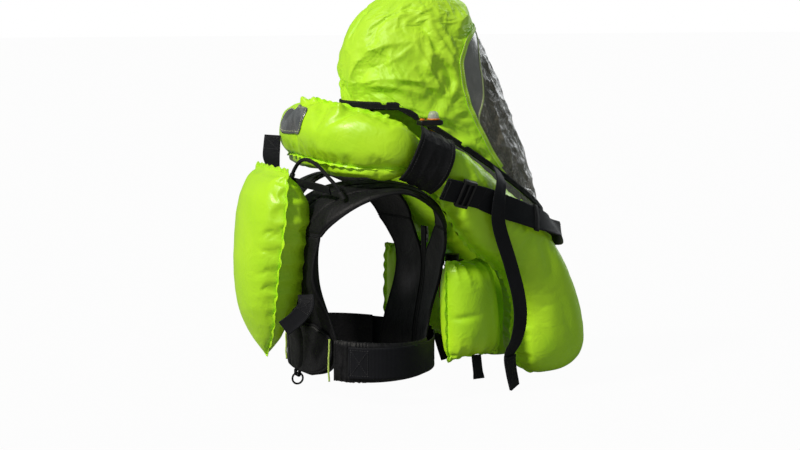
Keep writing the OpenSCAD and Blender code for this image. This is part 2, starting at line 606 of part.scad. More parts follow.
// ---- Inflation hardware, between the vest and the chest bladders ----
inflator = [40, -104, -205];
lever_pivot = [inflator[0] - 18, inflator[1], inflator[2] - 8];
module inflator_body() {
    color(black) difference() {
        union() {
            translate(inflator + [0, 0, -22]) cylinder(r = 12, h = 44);
            translate(inflator + [-15, -7, -16]) cube([12, 14, 26]);
            translate(inflator + [0, 0, 4]) rotate([90, 0, 0]) cylinder(r = 8, h = 20);
        }
        // The seat of the gas cylinder's neck, open at the bottom.
        translate(inflator + [0, 0, -23]) cylinder(r = 7.05, h = 14);
        // The slot in which the lever turns.
        translate(inflator + [-24, -3.4, -20]) cube([16.6, 6.8, 34]);
        translate([lever_pivot[0] + 5, inflator[1] + 10, lever_pivot[2]]) rotate([90, 0, 0]) cylinder(r = 2.05, h = 20);
    }
}
module inflator_lever() {
    color(orange) {
        difference() {
            union() {
                translate(lever_pivot + [5, 3, 0]) rotate([90, 0, 0]) cylinder(r = 5, h = 6);
                translate(lever_pivot + [-9, -3, -5]) cube([14, 6, 6]);
            }
            translate(lever_pivot + [-5.5, 4, -1.5]) rotate([90, 0, 0]) cylinder(r = 1.3, h = 8);
        }
        translate(lever_pivot + [5, 6.8, 0]) rotate([90, 0, 0]) cylinder(r = 2, h = 13.6);
    }
}
toggle_top = lever_pivot + [-5.5, 0, -1.5];
module pull_toggle() {
    color(orange) {
        translate(toggle_top + [0, 5, 0]) rotate([90, 0, 0]) cylinder(r = 1.2, h = 10);
        for (y = [-4.6, 4.6]) translate(toggle_top + [0, y, -38]) cylinder(r = 0.9, h = 38.5);
        translate(toggle_top + [-10.5, -9, -60]) cube([14, 18, 22.4]);
    }
}
module gas_cylinder() {
    color(silver) translate(inflator + [0, 0, -22.2]) rotate([180, 0, 0]) rotate_extrude()
        polygon(concat([[0, -12], [7, -12], [7, 6]],
            [for (a = [60:-10:0]) [7 + (cylinder_r - 7) * cos(a), 14 + -8 * sin(a)]],
            [for (a = [0:10:90]) [cylinder_r * cos(a) , 6 + cylinder_l - cylinder_r + cylinder_r * sin(a)]]));
}
oral_line = [[59, -96, -84], [44, -92, -82], [32, -82, -62], [28, -72, -34], [26, -66, -6], [26, -66, 16]];
module oral_tube() {
    color(black) cord(curve(oral_line, 18), oral_r, 12);
}
oral_top = oral_line[5];
module oral_valve() {
    color(orange) translate(oral_top) difference() {
        union() {
            translate([0, 0, 0.4]) cylinder(r = oral_r + 1.5, h = 16);
            translate([0, 0, 16.4]) cylinder(r = 5, h = 8);
        }
        translate([0, 0, 2]) cylinder(r = 3.4, h = 30);
    }
}
module oral_stem() {
    color(silver) translate(oral_top + [0, 0, 6]) cylinder(r = 3.35, h = 14);
}
module oral_cap() {
    color(black) translate(oral_top + [0, 0, 16.8]) difference() {
        cylinder(r = 7.6, h = 12);
        translate([0, 0, -1]) cylinder(r = 5.2, h = 9.4);
    }
}
module relief_valve() {
    c = on_chest(4.1, 116, 3);
    n = off_chest(4.1, 116);
    color(black) mirror([1, 0, 0]) translate(c) rotate([0, acos(n[2]), atan2(n[1], n[0])]) {
        cylinder(r = 13, h = 3);
        translate([0, 0, 3]) cylinder(r = 10, h = 5);
    }
}

// ---- Light on the right shoulder, and the whistle ----
light_pos = [-150, 22, 50];
module light_housing() {
    color(orange) translate(light_pos) difference() {
        union() {
            translate([-11, -20, 0]) cube([22, 40, 9]);
            translate([0, -6, 9]) cylinder(r = 9, h = 5);
            translate([0, -6, 14]) sphere(r = 8.9);
        }
        translate([0, 13, 3]) cylinder(r = 4.05, h = 8);
    }
}
module light_button() {
    color(black) translate(light_pos + [0, 13, 5.6]) cylinder(r = 4, h = 5.4);
}
whistle_pos = [-36, -54, -196];
module whistle() {
    color(orange) translate(whistle_pos) difference() {
        union() {
            translate([-5, -6, -48]) cube([10, 12, 40]);
            translate([-2.5, 0, -8]) rotate([0, 90, 0]) cylinder(r = 6, h = 5);
        }
        translate([-6, 0, -7.6]) rotate([0, 90, 0]) cylinder(r = 2.4, h = 12);
        translate([-3.4, -4.4, -49]) cube([6.8, 8.8, 34]);
        translate([-3.4, 2, -30]) cube([6.8, 6, 7]);
    }
}
module whistle_cord() {
    color(black) cord(curve([[-36, -38, -146], [-36, -47, -156], [-36, -53, -170], [-36, -54, -187]], 8), 1.5, 8);
    color(black) translate(whistle_pos) rotate([90, 0, 0]) rotate_extrude($fn = 24) translate([7.6, 0])
        circle(r = 1.2, $fn = 12);
}

collar_bladder();
chest_bladder(false);  // chest_bladder_right
chest_bladder(true);  // chest_bladder_left
inner_bladder(false);  // inner_bladder_right
inner_bladder(true);  // inner_bladder_left
back_bladder();
hood_panel(false);  // hood_panel_right
hood_panel(true);  // hood_panel_left
visor();
visor_seam();
hood_hem();
back_panel();
lumbar_pad();
shoulder_yoke(false);  // shoulder_yoke_right
shoulder_yoke(true);  // shoulder_yoke_left
front_panel(false);  // front_panel_right
front_panel(true);  // front_panel_left
front_zip();
zip_slider();
belt_pad(false);  // belt_pad_right
belt_pad(true);  // belt_pad_left
belt_webbing(false);  // belt_webbing_right
belt_webbing(true);  // belt_webbing_left
slack(belt_buckle_y, belt_z, belt_web_h);  // belt_slack
at_belt() buckle_socket(belt_web_h);  // belt_buckle_socket
at_belt() buckle_plug(belt_web_h);  // belt_buckle_plug
at_belt() buckle_prong(belt_web_h, -1);  // belt_prong_right
at_belt() buckle_prong(belt_web_h, 1);  // belt_prong_left
piping();
shoulder_band(false);  // shoulder_band_right
shoulder_band(true);  // shoulder_band_left
chest_strap(false);  // chest_strap_right
chest_strap(true);  // chest_strap_left
slack(chest_buckle[1], chest_buckle[2], chest_web_w);  // chest_slack
at_chest() buckle_socket(chest_web_w);  // chest_buckle_socket
at_chest() buckle_plug(chest_web_w);  // chest_buckle_plug
at_chest() buckle_prong(chest_web_w, -1);  // chest_prong_right
at_chest() buckle_prong(chest_web_w, 1);  // chest_prong_left
strap_adjuster(false);  // strap_adjuster_right
strap_adjuster(true);  // strap_adjuster_left
lobe_strap(false);  // lobe_strap_right
lobe_strap(true);  // lobe_strap_left
collar_strap();
becket_cord();
back_tab();
lumbar_loop();
reflective_patches();
inflator_body();
inflator_lever();
pull_toggle();
gas_cylinder();
oral_tube();
oral_valve();
oral_stem();
oral_cap();
relief_valve();
light_housing();
light_button();
whistle();
whistle_cord();
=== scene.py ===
"""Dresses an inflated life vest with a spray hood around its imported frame.

Sizes are in millimetres and angles in degrees unless a name says otherwise, and meshes are
written in metres. The wearer faces -Y, the wearer's left is +X, and the origin is on the
wearer's neck axis at the height of the shoulders.
"""
import logging
import math
from dataclasses import dataclass, field
from enum import Enum
from typing import Optional, Sequence

import bmesh
import bpy
import numpy as np
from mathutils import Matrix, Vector


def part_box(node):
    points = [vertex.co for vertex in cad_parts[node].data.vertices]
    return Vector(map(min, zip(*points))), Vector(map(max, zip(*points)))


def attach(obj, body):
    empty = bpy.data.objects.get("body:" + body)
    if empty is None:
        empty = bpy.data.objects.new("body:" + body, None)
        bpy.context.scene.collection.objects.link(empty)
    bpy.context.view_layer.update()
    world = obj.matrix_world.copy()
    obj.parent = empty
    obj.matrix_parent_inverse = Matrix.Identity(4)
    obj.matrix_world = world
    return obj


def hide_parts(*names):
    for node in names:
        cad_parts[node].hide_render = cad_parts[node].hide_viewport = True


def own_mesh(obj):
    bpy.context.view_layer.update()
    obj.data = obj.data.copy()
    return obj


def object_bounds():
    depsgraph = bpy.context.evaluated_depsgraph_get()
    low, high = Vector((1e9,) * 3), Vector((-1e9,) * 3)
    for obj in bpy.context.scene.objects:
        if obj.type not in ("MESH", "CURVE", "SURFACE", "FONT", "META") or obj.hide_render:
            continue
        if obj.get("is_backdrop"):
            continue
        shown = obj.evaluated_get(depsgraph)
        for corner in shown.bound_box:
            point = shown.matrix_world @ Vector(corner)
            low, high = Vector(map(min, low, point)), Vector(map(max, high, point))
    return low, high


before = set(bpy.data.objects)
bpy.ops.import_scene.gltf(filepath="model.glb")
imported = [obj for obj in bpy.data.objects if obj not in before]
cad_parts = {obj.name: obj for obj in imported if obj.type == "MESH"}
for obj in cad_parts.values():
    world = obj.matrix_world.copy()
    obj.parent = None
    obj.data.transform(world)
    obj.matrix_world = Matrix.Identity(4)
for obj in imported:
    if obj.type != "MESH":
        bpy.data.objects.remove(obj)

LOG = logging.getLogger("vest")
MM = 0.001
Array = np.ndarray
Piece = bpy.types.Object
Material = bpy.types.Material
Socket = bpy.types.NodeSocket
Point = tuple[float, float, float]


class Slot(Enum):
    """The record's material slots."""
    BLADDER = "inflated_fabric"
    HOOD = "hood_fabric"
    VISOR = "visor_film"
    TRIM = "lime_trim"
    MESH = "vest_mesh"
    WEBBING = "webbing"
    BLACK_PLASTIC = "black_plastic"
    ORANGE_PLASTIC = "orange_plastic"
    RUBBER = "black_rubber"
    STEEL = "steel"
    TAPE = "reflective_tape"


class Side(Enum):
    """A side of the wearer, as the sign of X."""
    RIGHT = -1
    LEFT = 1

    @property
    def word(self) -> str:
        """The side's name in lower case."""
        return self.name.lower()

    @property
    def flip(self) -> Array:
        """The factors that bring a point of the right side over to this side."""
        return np.array([-self.value, 1, 1])


# ---- Numbers on curves and surfaces ----
def clamp01(t: Array) -> Array:
    """t held between 0 and 1."""
    return np.clip(t, 0.0, 1.0)


def smooth(t: Array) -> Array:
    """A smooth step: 3c^2 - 2c^3 of t held between 0 and 1."""
    c = clamp01(np.asarray(t, float))
    return c * c * (3 - 2 * c)


def mix(a: Array, b: Array, t: Array) -> Array:
    """The straight blend a + (b - a) t."""
    return a + (b - a) * t


def spow(v: Array, power: float) -> Array:
    """A signed power, sign(v) |v|^power."""
    return np.sign(v) * np.abs(v) ** power


def hump(d: Array, width: Array) -> Array:
    """A bell of height 1 at d = 0: exp(-(d / width)^2)."""
    return np.exp(-(d / width) ** 2)


def circle(count: int) -> Array:
    """Even angles round a whole turn, without the last."""
    return np.linspace(0, 2 * np.pi, count, endpoint=False)


def steps_down(first: float, last: float, count: int) -> Array:
    """Even steps down the rows of a grid."""
    return np.linspace(first, last, count)[:, None]


def steps_over(first: float, last: float, count: int) -> Array:
    """Even steps over the columns of a grid."""
    return np.linspace(first, last, count)[None, :]


def half_turns(count: int) -> Array:
    """Even angles round a whole turn in degrees, from 0 to 180 and on from -180."""
    a = np.linspace(0, 360, count, endpoint=False)
    return np.where(a > 180, a - 360, a)


def columns(*parts: Array) -> Array:
    """Arrays set side by side on a new last axis, after they are stretched to one shape."""
    return np.stack(np.broadcast_arrays(*parts), -1)


def distances(path: Array) -> Array:
    """How far along a path each of its points lies."""
    return np.concatenate([[0], np.cumsum(np.linalg.norm(np.diff(path, axis=0), axis=1))])


def unit(v: Array) -> Array:
    """Vectors of length 1 in the same directions."""
    return v / np.maximum(np.linalg.norm(v, axis=-1, keepdims=True), 1e-12)


def spline(points: Sequence, t: Array) -> Array:
    """Points on a Catmull-Rom curve.

    Args:
        points: the points, or numbers, that the curve passes through.
        t: places on the curve, where point k is at t = k.

    Returns:
        An array of t's shape, with the points' own axis after it if they have one.
    """
    pts = np.asarray(points, float)
    flat = pts.ndim == 1
    if flat:
        pts = pts[:, None]
    t = np.asarray(t, float)
    i = np.clip(np.floor(t).astype(int), 0, len(pts) - 2)
    f = (t - i)[..., None]
    padded = np.concatenate([[2 * pts[0] - pts[1]], pts, [2 * pts[-1] - pts[-2]]])
    a, b, c, d = (padded[i + k] for k in range(4))
    out = 0.5 * (2 * b + (c - a) * f + (2 * a - 5 * b + 4 * c - d) * f ** 2
                 + (3 * b - a - 3 * c + d) * f ** 3)
    return out[..., 0] if flat else out


def even(points: Array, step: float) -> Array:
    """Points along a polyline at even distances of about step."""
    far = distances(points[:, :3])
    count = max(3, int(round(far[-1] / step)) + 1)
    at = np.linspace(0, far[-1], count)
    return np.stack([np.interp(at, far, points[:, k]) for k in range(points.shape[1])], axis=1)


WORD = 0xFFFFFFFF
HASH_PRIMES = np.array([374761393, 668265263, 1440662683])
HASH_SEED = 974634777
HASH_STIR = 1274126177


def lattice_noise(p: Array, seed: int = 0) -> Array:
    """Smooth noise from -1 to 1: random values at whole-number corners, blended by 3f^2 - 2f^3."""
    base = np.floor(p).astype(np.int64)
    f = p - base
    f = f * f * (3 - 2 * f)
    total = np.zeros(p.shape[:-1])
    for corner in np.ndindex(2, 2, 2):
        c = base + np.array(corner)
        h = (c @ HASH_PRIMES + seed * HASH_SEED) & WORD
        h = ((h ^ (h >> 13)) * HASH_STIR) & WORD
        h = h ^ (h >> 16)
        share = np.prod(np.where(np.array(corner) == 1, f, 1 - f), axis=-1)
        total = total + (h / WORD * 2 - 1) * share
    return total


def creases(p: Array, size: float, seed: int = 0, sharp: float = 1.4) -> Array:
    """Crumpled cloth from 0 to 1: ridges (1 - |noise|)^sharp at two sizes, the finer one weaker."""
    coarse = (1 - np.abs(lattice_noise(p / size, seed))) ** sharp
    fine = (1 - np.abs(lattice_noise(p / (size * 0.43) + 17, seed + 5))) ** sharp
    return 0.7 * coarse + 0.3 * fine


# ---- Meshes ----
def quads(rows: int, cols: int, wrap: bool = False, first: int = 0) -> Array:
    """The four-cornered faces of a grid of rows by cols points, closed round its columns if wrap."""
    i, j = np.meshgrid(np.arange(rows - 1), np.arange(cols if wrap else cols - 1), indexing="ij")
    k = (j + 1) % cols
    corners = columns(i * cols + j, i * cols + k, (i + 1) * cols + k, (i + 1) * cols + j)
    return corners.reshape(-1, 4) + first


def make_object(name: str, verts: Array, faces: list, uv: Optional[Array] = None) -> Piece:
    """A smooth-shaded object at the origin from points in millimetres.

    Args:
        name: the piece's name.
        verts: points, any shape that ends in 3.
        faces: lists of point numbers.
        uv: one pair for each point, in metres along and across.

    Returns:
        The linked object.
    """
    mesh = bpy.data.meshes.new(name)
    mesh.from_pydata((verts.reshape(-1, 3) * MM).tolist(), [], faces)
    mesh.polygons.foreach_set("use_smooth", np.ones(len(mesh.polygons), bool))
    if uv is not None:
        layer = mesh.uv_layers.new(name="UVMap")
        corners = np.empty(len(mesh.loops), np.int32)
        mesh.loops.foreach_get("vertex_index", corners)
        layer.data.foreach_set("uv", uv.reshape(-1, 2)[corners].astype(np.float32).ravel())
    mesh.update()
    piece = bpy.data.objects.new(name, mesh)
    bpy.context.scene.collection.objects.link(piece)
    return piece


def face_out(piece: Piece) -> Piece:
    """Turns a closed piece's faces outwards."""
    work = bmesh.new()
    work.from_mesh(piece.data)
    bmesh.ops.recalc_face_normals(work, faces=work.faces)
    work.to_mesh(piece.data)
    work.free()
    return piece


def with_ends(rings: Array) -> Array:
    """Every point of the rings, and then the middle of the first ring and of the last."""
    ends = np.stack([rings[0].mean(0), rings[-1].mean(0)])
    return np.concatenate([rings.reshape(-1, rings.shape[-1]), ends])


def loft(name: str, rings: Array, uv: Optional[Array] = None) -> Piece:
    """A closed form through rings of points, each end closed on its middle."""
    n, m = rings.shape[:2]
    faces = quads(n, m, wrap=True).tolist()
    for j in range(m):
        k = (j + 1) % m
        faces.append([n * m, k, j])
        faces.append([n * m + 1, (n - 1) * m + j, (n - 1) * m + k])
    return face_out(make_object(name, with_ends(rings), faces, None if uv is None else with_ends(uv)))


def sheet_grid(name: str, grid: Array) -> Piece:
    """An open sheet over a grid of points."""
    return make_object(name, grid, quads(*grid.shape[:2]).tolist())


def shell(name: str, outer: Array, inner: Array) -> Piece:
    """A closed shell between two grids of the same shape."""
    n, m = outer.shape[:2]
    rim = np.concatenate([np.arange(m), np.arange(1, n) * m + m - 1,
                          (n - 1) * m + np.arange(m - 2, -1, -1), np.arange(n - 2, 0, -1) * m])
    nxt = np.roll(rim, -1)
    walls = columns(rim, rim + n * m, nxt + n * m, nxt)
    faces = np.concatenate([quads(n, m), quads(n, m, first=n * m)[:, ::-1], walls]).tolist()
    both = np.concatenate([outer.reshape(-1, 3), inner.reshape(-1, 3)])
    return face_out(make_object(name, both, faces))


def frames_along(points: Array, outs: Array) -> tuple[Array, Array, Array]:
    """The direction, the width direction and the outward direction at each point of a strip."""
    along = unit(np.gradient(points, axis=0))
    across = unit(np.cross(outs, along))
    return along, across, np.cross(along, across)


def strap(name: str, points: Array, outs: Array, width: Array, thick: float,
          step: float = 3.0) -> Piece:
    """A woven strap: a flat oval with thick selvedges, carried along a path.

    Args:
        name: the piece's name.
        points: the middle line.
        outs: the direction that the strap's face looks in at each point.
        width: its width, or one for each point.
        thick: its thickness.
        step: the distance between cross sections.

    Returns:
        The strap, with a UV map in metres along and across.
    """
    wide = np.broadcast_to(np.asarray(width, float), (len(points),))
    line = even(np.concatenate([points, unit(np.asarray(outs, float)), wide[:, None]], axis=1), step)
    path, outs, wide = line[:, :3], line[:, 3:6], line[:, 6]
    _, across, out = frames_along(path, outs)
    # Half the section: across from -1 to 1, with the face sunk a little inside the selvedges.
    s = np.array([-1, -0.97, -0.88, -0.8, -0.4, 0, 0.4, 0.8, 0.88, 0.97, 1])
    h = np.array([0.1, 0.42, 0.5, 0.4, 0.38, 0.38, 0.38, 0.4, 0.5, 0.42, 0.1]) * thick
    s, h = np.concatenate([s, s[::-1]]), np.concatenate([h, -h])
    rings = (path[:, None] + across[:, None] * (s[None, :, None] * wide[:, None, None] / 2)
             + out[:, None] * h[None, :, None])
    far = distances(path)
    uv = columns(far[:, None], s[None, :] * wide[:, None] / 2) * MM
    return loft(name, rings, uv)


def round_rings(path: Array, along: Array, radius: Array, sides: int) -> Array:
    """Circles of points across a path, given its direction at each point."""
    side = unit(np.cross(along, np.array([0.31, 0.17, 0.94])))
    up = np.cross(along, side)
    a = circle(sides)[None, :, None]
    return path[:, None] + radius * (side[:, None] * np.cos(a) + up[:, None] * np.sin(a))


def tube(name: str, points: Array, radius: Array, sides: int, step: float = 2.0) -> Piece:
    """A round cord along a path, with a UV map in metres along and turns round it."""
    radius = np.broadcast_to(np.asarray(radius, float), (len(points),))
    line = even(np.concatenate([points, radius[:, None]], axis=1), step)
    path, r = line[:, :3], line[:, 3]
    rings = round_rings(path, unit(np.gradient(path, axis=0)), r[:, None, None], sides)
    return loft(name, rings, columns(distances(path)[:, None] * MM, circle(sides)[None, :] / (2 * np.pi)))


def stitches(name: str, lines: Sequence[tuple[Array, Array]], pitch: float = 4.0, length: float = 2.7,
             r: float = 0.42) -> Piece:
    """Rows of thread dashes, each a short six-sided spindle sunk halfway into the cloth.

    Args:
        name: the piece's name.
        lines: pairs of a path and its outward directions.
        pitch: the distance from stitch to stitch.
        length: the length of each stitch.
        r: the thread's radius.

    Returns:
        One object that holds every stitch.
    """
    a = circle(6)
    profile = [(-0.5, 0.35), (-0.3, 1.0), (0.3, 1.0), (0.5, 0.35)]
    local = np.array([[(x * length, k * r * math.cos(b), k * r * math.sin(b)) for b in a]
                      for x, k in profile])
    shape = quads(4, 6, wrap=True).tolist() + [[5, 4, 3, 2, 1, 0], [18, 19, 20, 21, 22, 23]]
    verts, faces = [], []
    for path, outs in lines:
        line = even(np.concatenate([path, unit(outs)], axis=1), pitch)
        along, across, out = frames_along(line[:, :3], line[:, 3:])
        p = (line[:, None, None, :3] + along[:, None, None] * local[None, ..., 0:1]
             + across[:, None, None] * local[None, ..., 1:2] + out[:, None, None] * local[None, ..., 2:3])
        for k in range(len(p)):
            first = 24 * len(verts)
            verts.append(p[k].reshape(-1, 3))
            faces.extend([[first + q for q in face] for face in shape])
    return face_out(make_object(name, np.concatenate(verts), faces))


def points_of(piece: Piece) -> Array:
    """A piece's own points, in millimetres."""
    co = np.empty(len(piece.data.vertices) * 3)
    piece.data.vertices.foreach_get("co", co)
    return co.reshape(-1, 3) / MM


def shaped_points(piece: Piece) -> Array:
    """A piece's points after its modifiers, in millimetres."""
    return points_of(piece.evaluated_get(bpy.context.evaluated_depsgraph_get()))


def set_points(piece: Piece, points: Array) -> None:
    """Moves a piece's own points, given in millimetres."""
    piece.data.vertices.foreach_set("co", (points * MM).ravel())
    piece.data.update()


def normals_of(piece: Piece) -> Array:
    """The outward direction at each point of a piece."""
    out = np.empty(len(piece.data.vertices) * 3)
    piece.data.vertices.foreach_get("normal", out)
    return out.reshape(-1, 3)


def subdivide(piece: Piece) -> Piece:
    """Rounds a piece with one level of Subdivision Surface, in the render too."""
    mod = piece.modifiers.new("Round", "SUBSURF")
    mod.levels = mod.render_levels = 1
    return piece


def thicken(piece: Piece, thick: float, offset: float = -1.0) -> Piece:
    """Gives a sheet a wall of thick millimetres."""
    mod = piece.modifiers.new("Wall", "SOLIDIFY")
    mod.thickness = thick * MM
    mod.offset = offset
    return piece


def mirror_copy(piece: Piece, name: str) -> Piece:
    """The same piece on the other side of the wearer, with its faces still outwards."""
    other = piece.copy()
    other.data = piece.data.copy()
    other.name = name
    other.data.name = name
    other.data.flip_normals()
    set_points(other, points_of(other) * np.array([-1, 1, 1]))
    bpy.context.scene.collection.objects.link(other)
    return other


WEIGHT_STEPS = 20


def write_weights(piece: Piece, weights: Array, name: str) -> str:
    """Writes a weight for each point into a vertex group, in even steps."""
    group = piece.vertex_groups.new(name=name)
    for level in range(1, WEIGHT_STEPS + 1):
        chosen = np.flatnonzero(np.round(weights * WEIGHT_STEPS) == level)
        group.add(chosen.tolist(), level / WEIGHT_STEPS, "REPLACE")
    return name


@dataclass(frozen=True)
class Inflation:
    """A cloth simulation under gas pressure, and how far it may move a piece."""
    pressure: float
    frames: int
    cap: float
    tension: float = 18.0
    bending: float = 0.3
    shrink: tuple[float, float] = (0.0, 0.0)

    def run(self, piece: Piece, seam: Optional[Array] = None, pin: Optional[Array] = None,
            flat: Optional[Array] = None) -> None:
        """Blows a piece up and keeps the result in its mesh.

        Args:
            piece: a closed or open sheet.
            seam: a weight for each point, 1 on a welded seam that draws the cloth together.
            pin: a weight for each point, 1 where it can't move.
            flat: the points of the flat sheets that it was cut as, which set the cloth's lengths.
        """
        start = points_of(piece)
        mod = piece.modifiers.new("Cloth", "CLOTH")
        cloth = mod.settings
        cloth.quality = 6
        cloth.mass = 0.25
        cloth.tension_stiffness = cloth.compression_stiffness = self.tension
        cloth.shear_stiffness = self.tension * 0.6
        cloth.bending_stiffness = self.bending
        cloth.tension_damping = cloth.compression_damping = 12
        cloth.air_damping = 2
        cloth.use_pressure = True
        cloth.uniform_pressure_force = self.pressure
        cloth.effector_weights.gravity = 0
        cloth.shrink_min, cloth.shrink_max = self.shrink
        if seam is not None:
            cloth.vertex_group_shrink = write_weights(piece, seam, "seam")
        if pin is not None:
            cloth.vertex_group_mass = write_weights(piece, pin, "pin")
        if flat is not None:
            piece.shape_key_add(name="Basis")
            key = piece.shape_key_add(name="Flat")
            key.data.foreach_set("co", (flat * MM).ravel())
            key.value = 0.0
            cloth.rest_shape_key = key
        mod.point_cache.frame_start = 1
        mod.point_cache.frame_end = self.frames
        scene = bpy.context.scene
        for number in range(1, self.frames + 1):
            scene.frame_set(number)
        step = shaped_points(piece) - start
        if flat is not None:
            step -= step.mean(0)
        far = np.linalg.norm(step, axis=1, keepdims=True)
        step *= np.minimum(1, self.cap / np.maximum(far, 1e-9))
        piece.modifiers.remove(mod)
        piece.vertex_groups.clear()
        if flat is not None:
            piece.shape_key_clear()
        scene.frame_set(1)
        set_points(piece, start + step)


# ---- Finishes ----
def add_node(tree: bpy.types.NodeTree, kind: str, output: object, inputs: dict, **settings: object) -> Socket:
    """Adds a shader node.

    Args:
        tree: the node tree.
        kind: the node's type, without its prefix.
        output: the name or number of the output that is wanted.
        inputs: a socket or a plain value for each input, by name or number.
        settings: the node's own settings.

    Returns:
        That output.
    """
    node = tree.nodes.new(f"ShaderNode{kind}")
    for name, value in settings.items():
        setattr(node, name, value)
    for name, value in inputs.items():
        if isinstance(value, Socket):
            tree.links.new(value, node.inputs[name])
        else:
            node.inputs[name].default_value = value
    return node.outputs[output]


class Graph:
    """A material's nodes, built up one call at a time."""

    def __init__(self, name: str) -> None:
        """Starts a material with one Principled shader."""
        self.material = bpy.data.materials.new(name)
        self.material.use_nodes = True
        self.tree = self.material.node_tree
        self.shader = self.tree.nodes["Principled BSDF"]
        place = self.tree.nodes.new("ShaderNodeTexCoord").outputs
        self.object = place["Object"]
        self.uv = place["UV"]

    def set(self, **sockets: object) -> None:
        """Sets the shader's own sockets, by their names with _ for a space."""
        for name, value in sockets.items():
            self.shader.inputs[name.replace("_", " ")].default_value = value

    def mapped(self, scale: Point) -> Socket:
        """The object's coordinates, stretched by scale along each axis."""
        return add_node(self.tree, "Mapping", "Vector", {"Scale": scale, "Vector": self.object})

    def noise(self, scale: float, detail: float = 3.0, rough: float = 0.55,
              where: Optional[Socket] = None, warp: float = 0.0) -> Socket:
        """Fractal noise at scale waves a metre."""
        return add_node(self.tree, "TexNoise", "Fac", {
            "Scale": scale, "Detail": detail, "Roughness": rough, "Distortion": warp,
            "Vector": where or self.object})

    def ridges(self, *args: float, **options: object) -> Socket:
        """Noise folded about its middle, |noise - 0.5|, which makes creases."""
        return self.maths("ABSOLUTE", self.maths("SUBTRACT", self.noise(*args, **options), 0.5), 0.0)

    def cells(self, scale: float, feature: str = "F1", where: Optional[Socket] = None) -> Socket:
        """Voronoi distance at scale cells a metre."""
        return add_node(self.tree, "TexVoronoi", "Distance", {"Scale": scale, "Vector": where or self.object},
                        feature=feature)

    def waves(self, scale: float, axis: str, where: Socket, warp: float = 0.0) -> Socket:
        """Even bands along an axis."""
        return add_node(self.tree, "TexWave", "Fac", {"Scale": scale, "Distortion": warp, "Vector": where},
                        bands_direction=axis)

    def colour(self, value: Socket, stops: Sequence[tuple[float, Sequence[float]]]) -> None:
        """Gives the shader its base colour from a value, by two or more stops."""
        colour = add_node(self.tree, "ValToRGB", "Color", {"Fac": value})
        band = colour.node.color_ramp
        while len(band.elements) < len(stops):
            band.elements.new(0.5)
        for element, (at, shade) in zip(band.elements, stops):
            element.position = at
            element.color = (*shade, 1)
        self.tree.links.new(colour, self.shader.inputs["Base Color"])

    def between(self, value: Socket, low: float, high: float) -> Socket:
        """A value from 0..1 spread over low..high."""
        return add_node(self.tree, "MapRange", "Result", {"Value": value, "To Min": low, "To Max": high})

    def maths(self, kind: str, a: Socket, b: object) -> Socket:
        """One Math node of a socket and a socket or number."""
        return add_node(self.tree, "Math", 0, {0: a, 1: b}, operation=kind)

    def rough(self, socket: Socket) -> None:
        """Gives the shader its roughness."""
        self.tree.links.new(socket, self.shader.inputs["Roughness"])

    def bump(self, *layers: tuple[Socket, float, float]) -> None:
        """Chains bumps of a height socket, a strength and a depth in millimetres."""
        chain = {}
        for height, strength, depth in layers:
            normal = add_node(self.tree, "Bump", "Normal", {
                "Strength": strength, "Distance": depth * MM, "Height": height, **chain})
            chain = {"Normal": normal}
        self.tree.links.new(normal, self.shader.inputs["Normal"])


@dataclass(frozen=True)
class Finish:
    """A material and the record's slot that it belongs to."""
    material: Material
    slot: Slot

    def put_on(self, piece: Piece) -> None:
        """Makes this the only finish of a piece."""
        piece.data.materials.clear()
        piece.data.materials.append(self.material)


@dataclass(frozen=True)
class Recipe:
    """What every finish has: a name, and nodes that fill() adds."""
    name: str

    def fill(self, g: Graph) -> None:
        """Adds the material's nodes."""
        raise NotImplementedError

    def finish(self, slot: Slot) -> Finish:
        """The finished material in its slot."""
        graph = Graph(self.name)
        self.fill(graph)
        return Finish(graph.material, slot)


@dataclass(frozen=True)
class CoatedFabric(Recipe):
    """Thin coated nylon: bright, half glossy, a fine weave, and crumple bumps of a given depth."""
    colour: Point
    deep: Point
    crumple: float
    gloss: float = 0.42

    def fill(self, g: Graph) -> None:
        """The fabric's nodes."""
        g.set(Sheen_Weight=0.25, Sheen_Roughness=0.5, Specular_IOR_Level=0.4, Coat_Weight=0.03,
              Coat_Roughness=0.3, Sheen_Tint=(*self.colour, 1))
        cloudy = g.noise(9, 4, 0.6, warp=0.6)
        g.colour(cloudy, [(0.3, self.deep), (0.62, self.colour)])
        g.rough(g.between(g.noise(40, 3), self.gloss - 0.07, self.gloss + 0.1))
        warp = g.waves(330, "X", g.object, 0.4)
        weft = g.waves(330, "Z", g.object, 0.4)
        fold = g.ridges(26, 4, 0.55, warp=1.1)
        fine = g.ridges(75, 3, 0.5, warp=0.8)
        g.bump((fold, 0.8, 12 * self.crumple), (fine, 0.6, 3.5 * self.crumple),
               (g.maths("MAXIMUM", warp, weft), 0.12, 0.25))


@dataclass(frozen=True)
class VisorFilm(Recipe):
    """Clear flexible film, crinkled, with mottled tones whose pale patches are painted highlights."""
    crinkle: float
    clear: float
    colours: tuple[Point, Point, Point]

    def fill(self, g: Graph) -> None:
        """The film's nodes."""
        g.set(Roughness=0.2, Specular_IOR_Level=0.7, Coat_Weight=0.5, Coat_Roughness=0.08,
              Alpha=self.clear, IOR=1.5)
        long = g.mapped((1.0, 1.0, 0.75))
        pattern = g.noise(46, 6, 0.74, where=long, warp=0.9)
        low, middle, high = self.colours
        # Painted highlight: the pale end of this ramp stands for glints on the crinkles, and the rest is
        # mottled tone.
        g.colour(pattern, [(0.36, low), (0.56, middle), (0.72, high)])
        fold = g.ridges(60, 5, 0.6, where=long, warp=1.4)
        cells = g.cells(150, "DISTANCE_TO_EDGE", long)
        g.bump((fold, 0.9, 14 * self.crinkle), (cells, 0.35, 1.6 * self.crinkle))


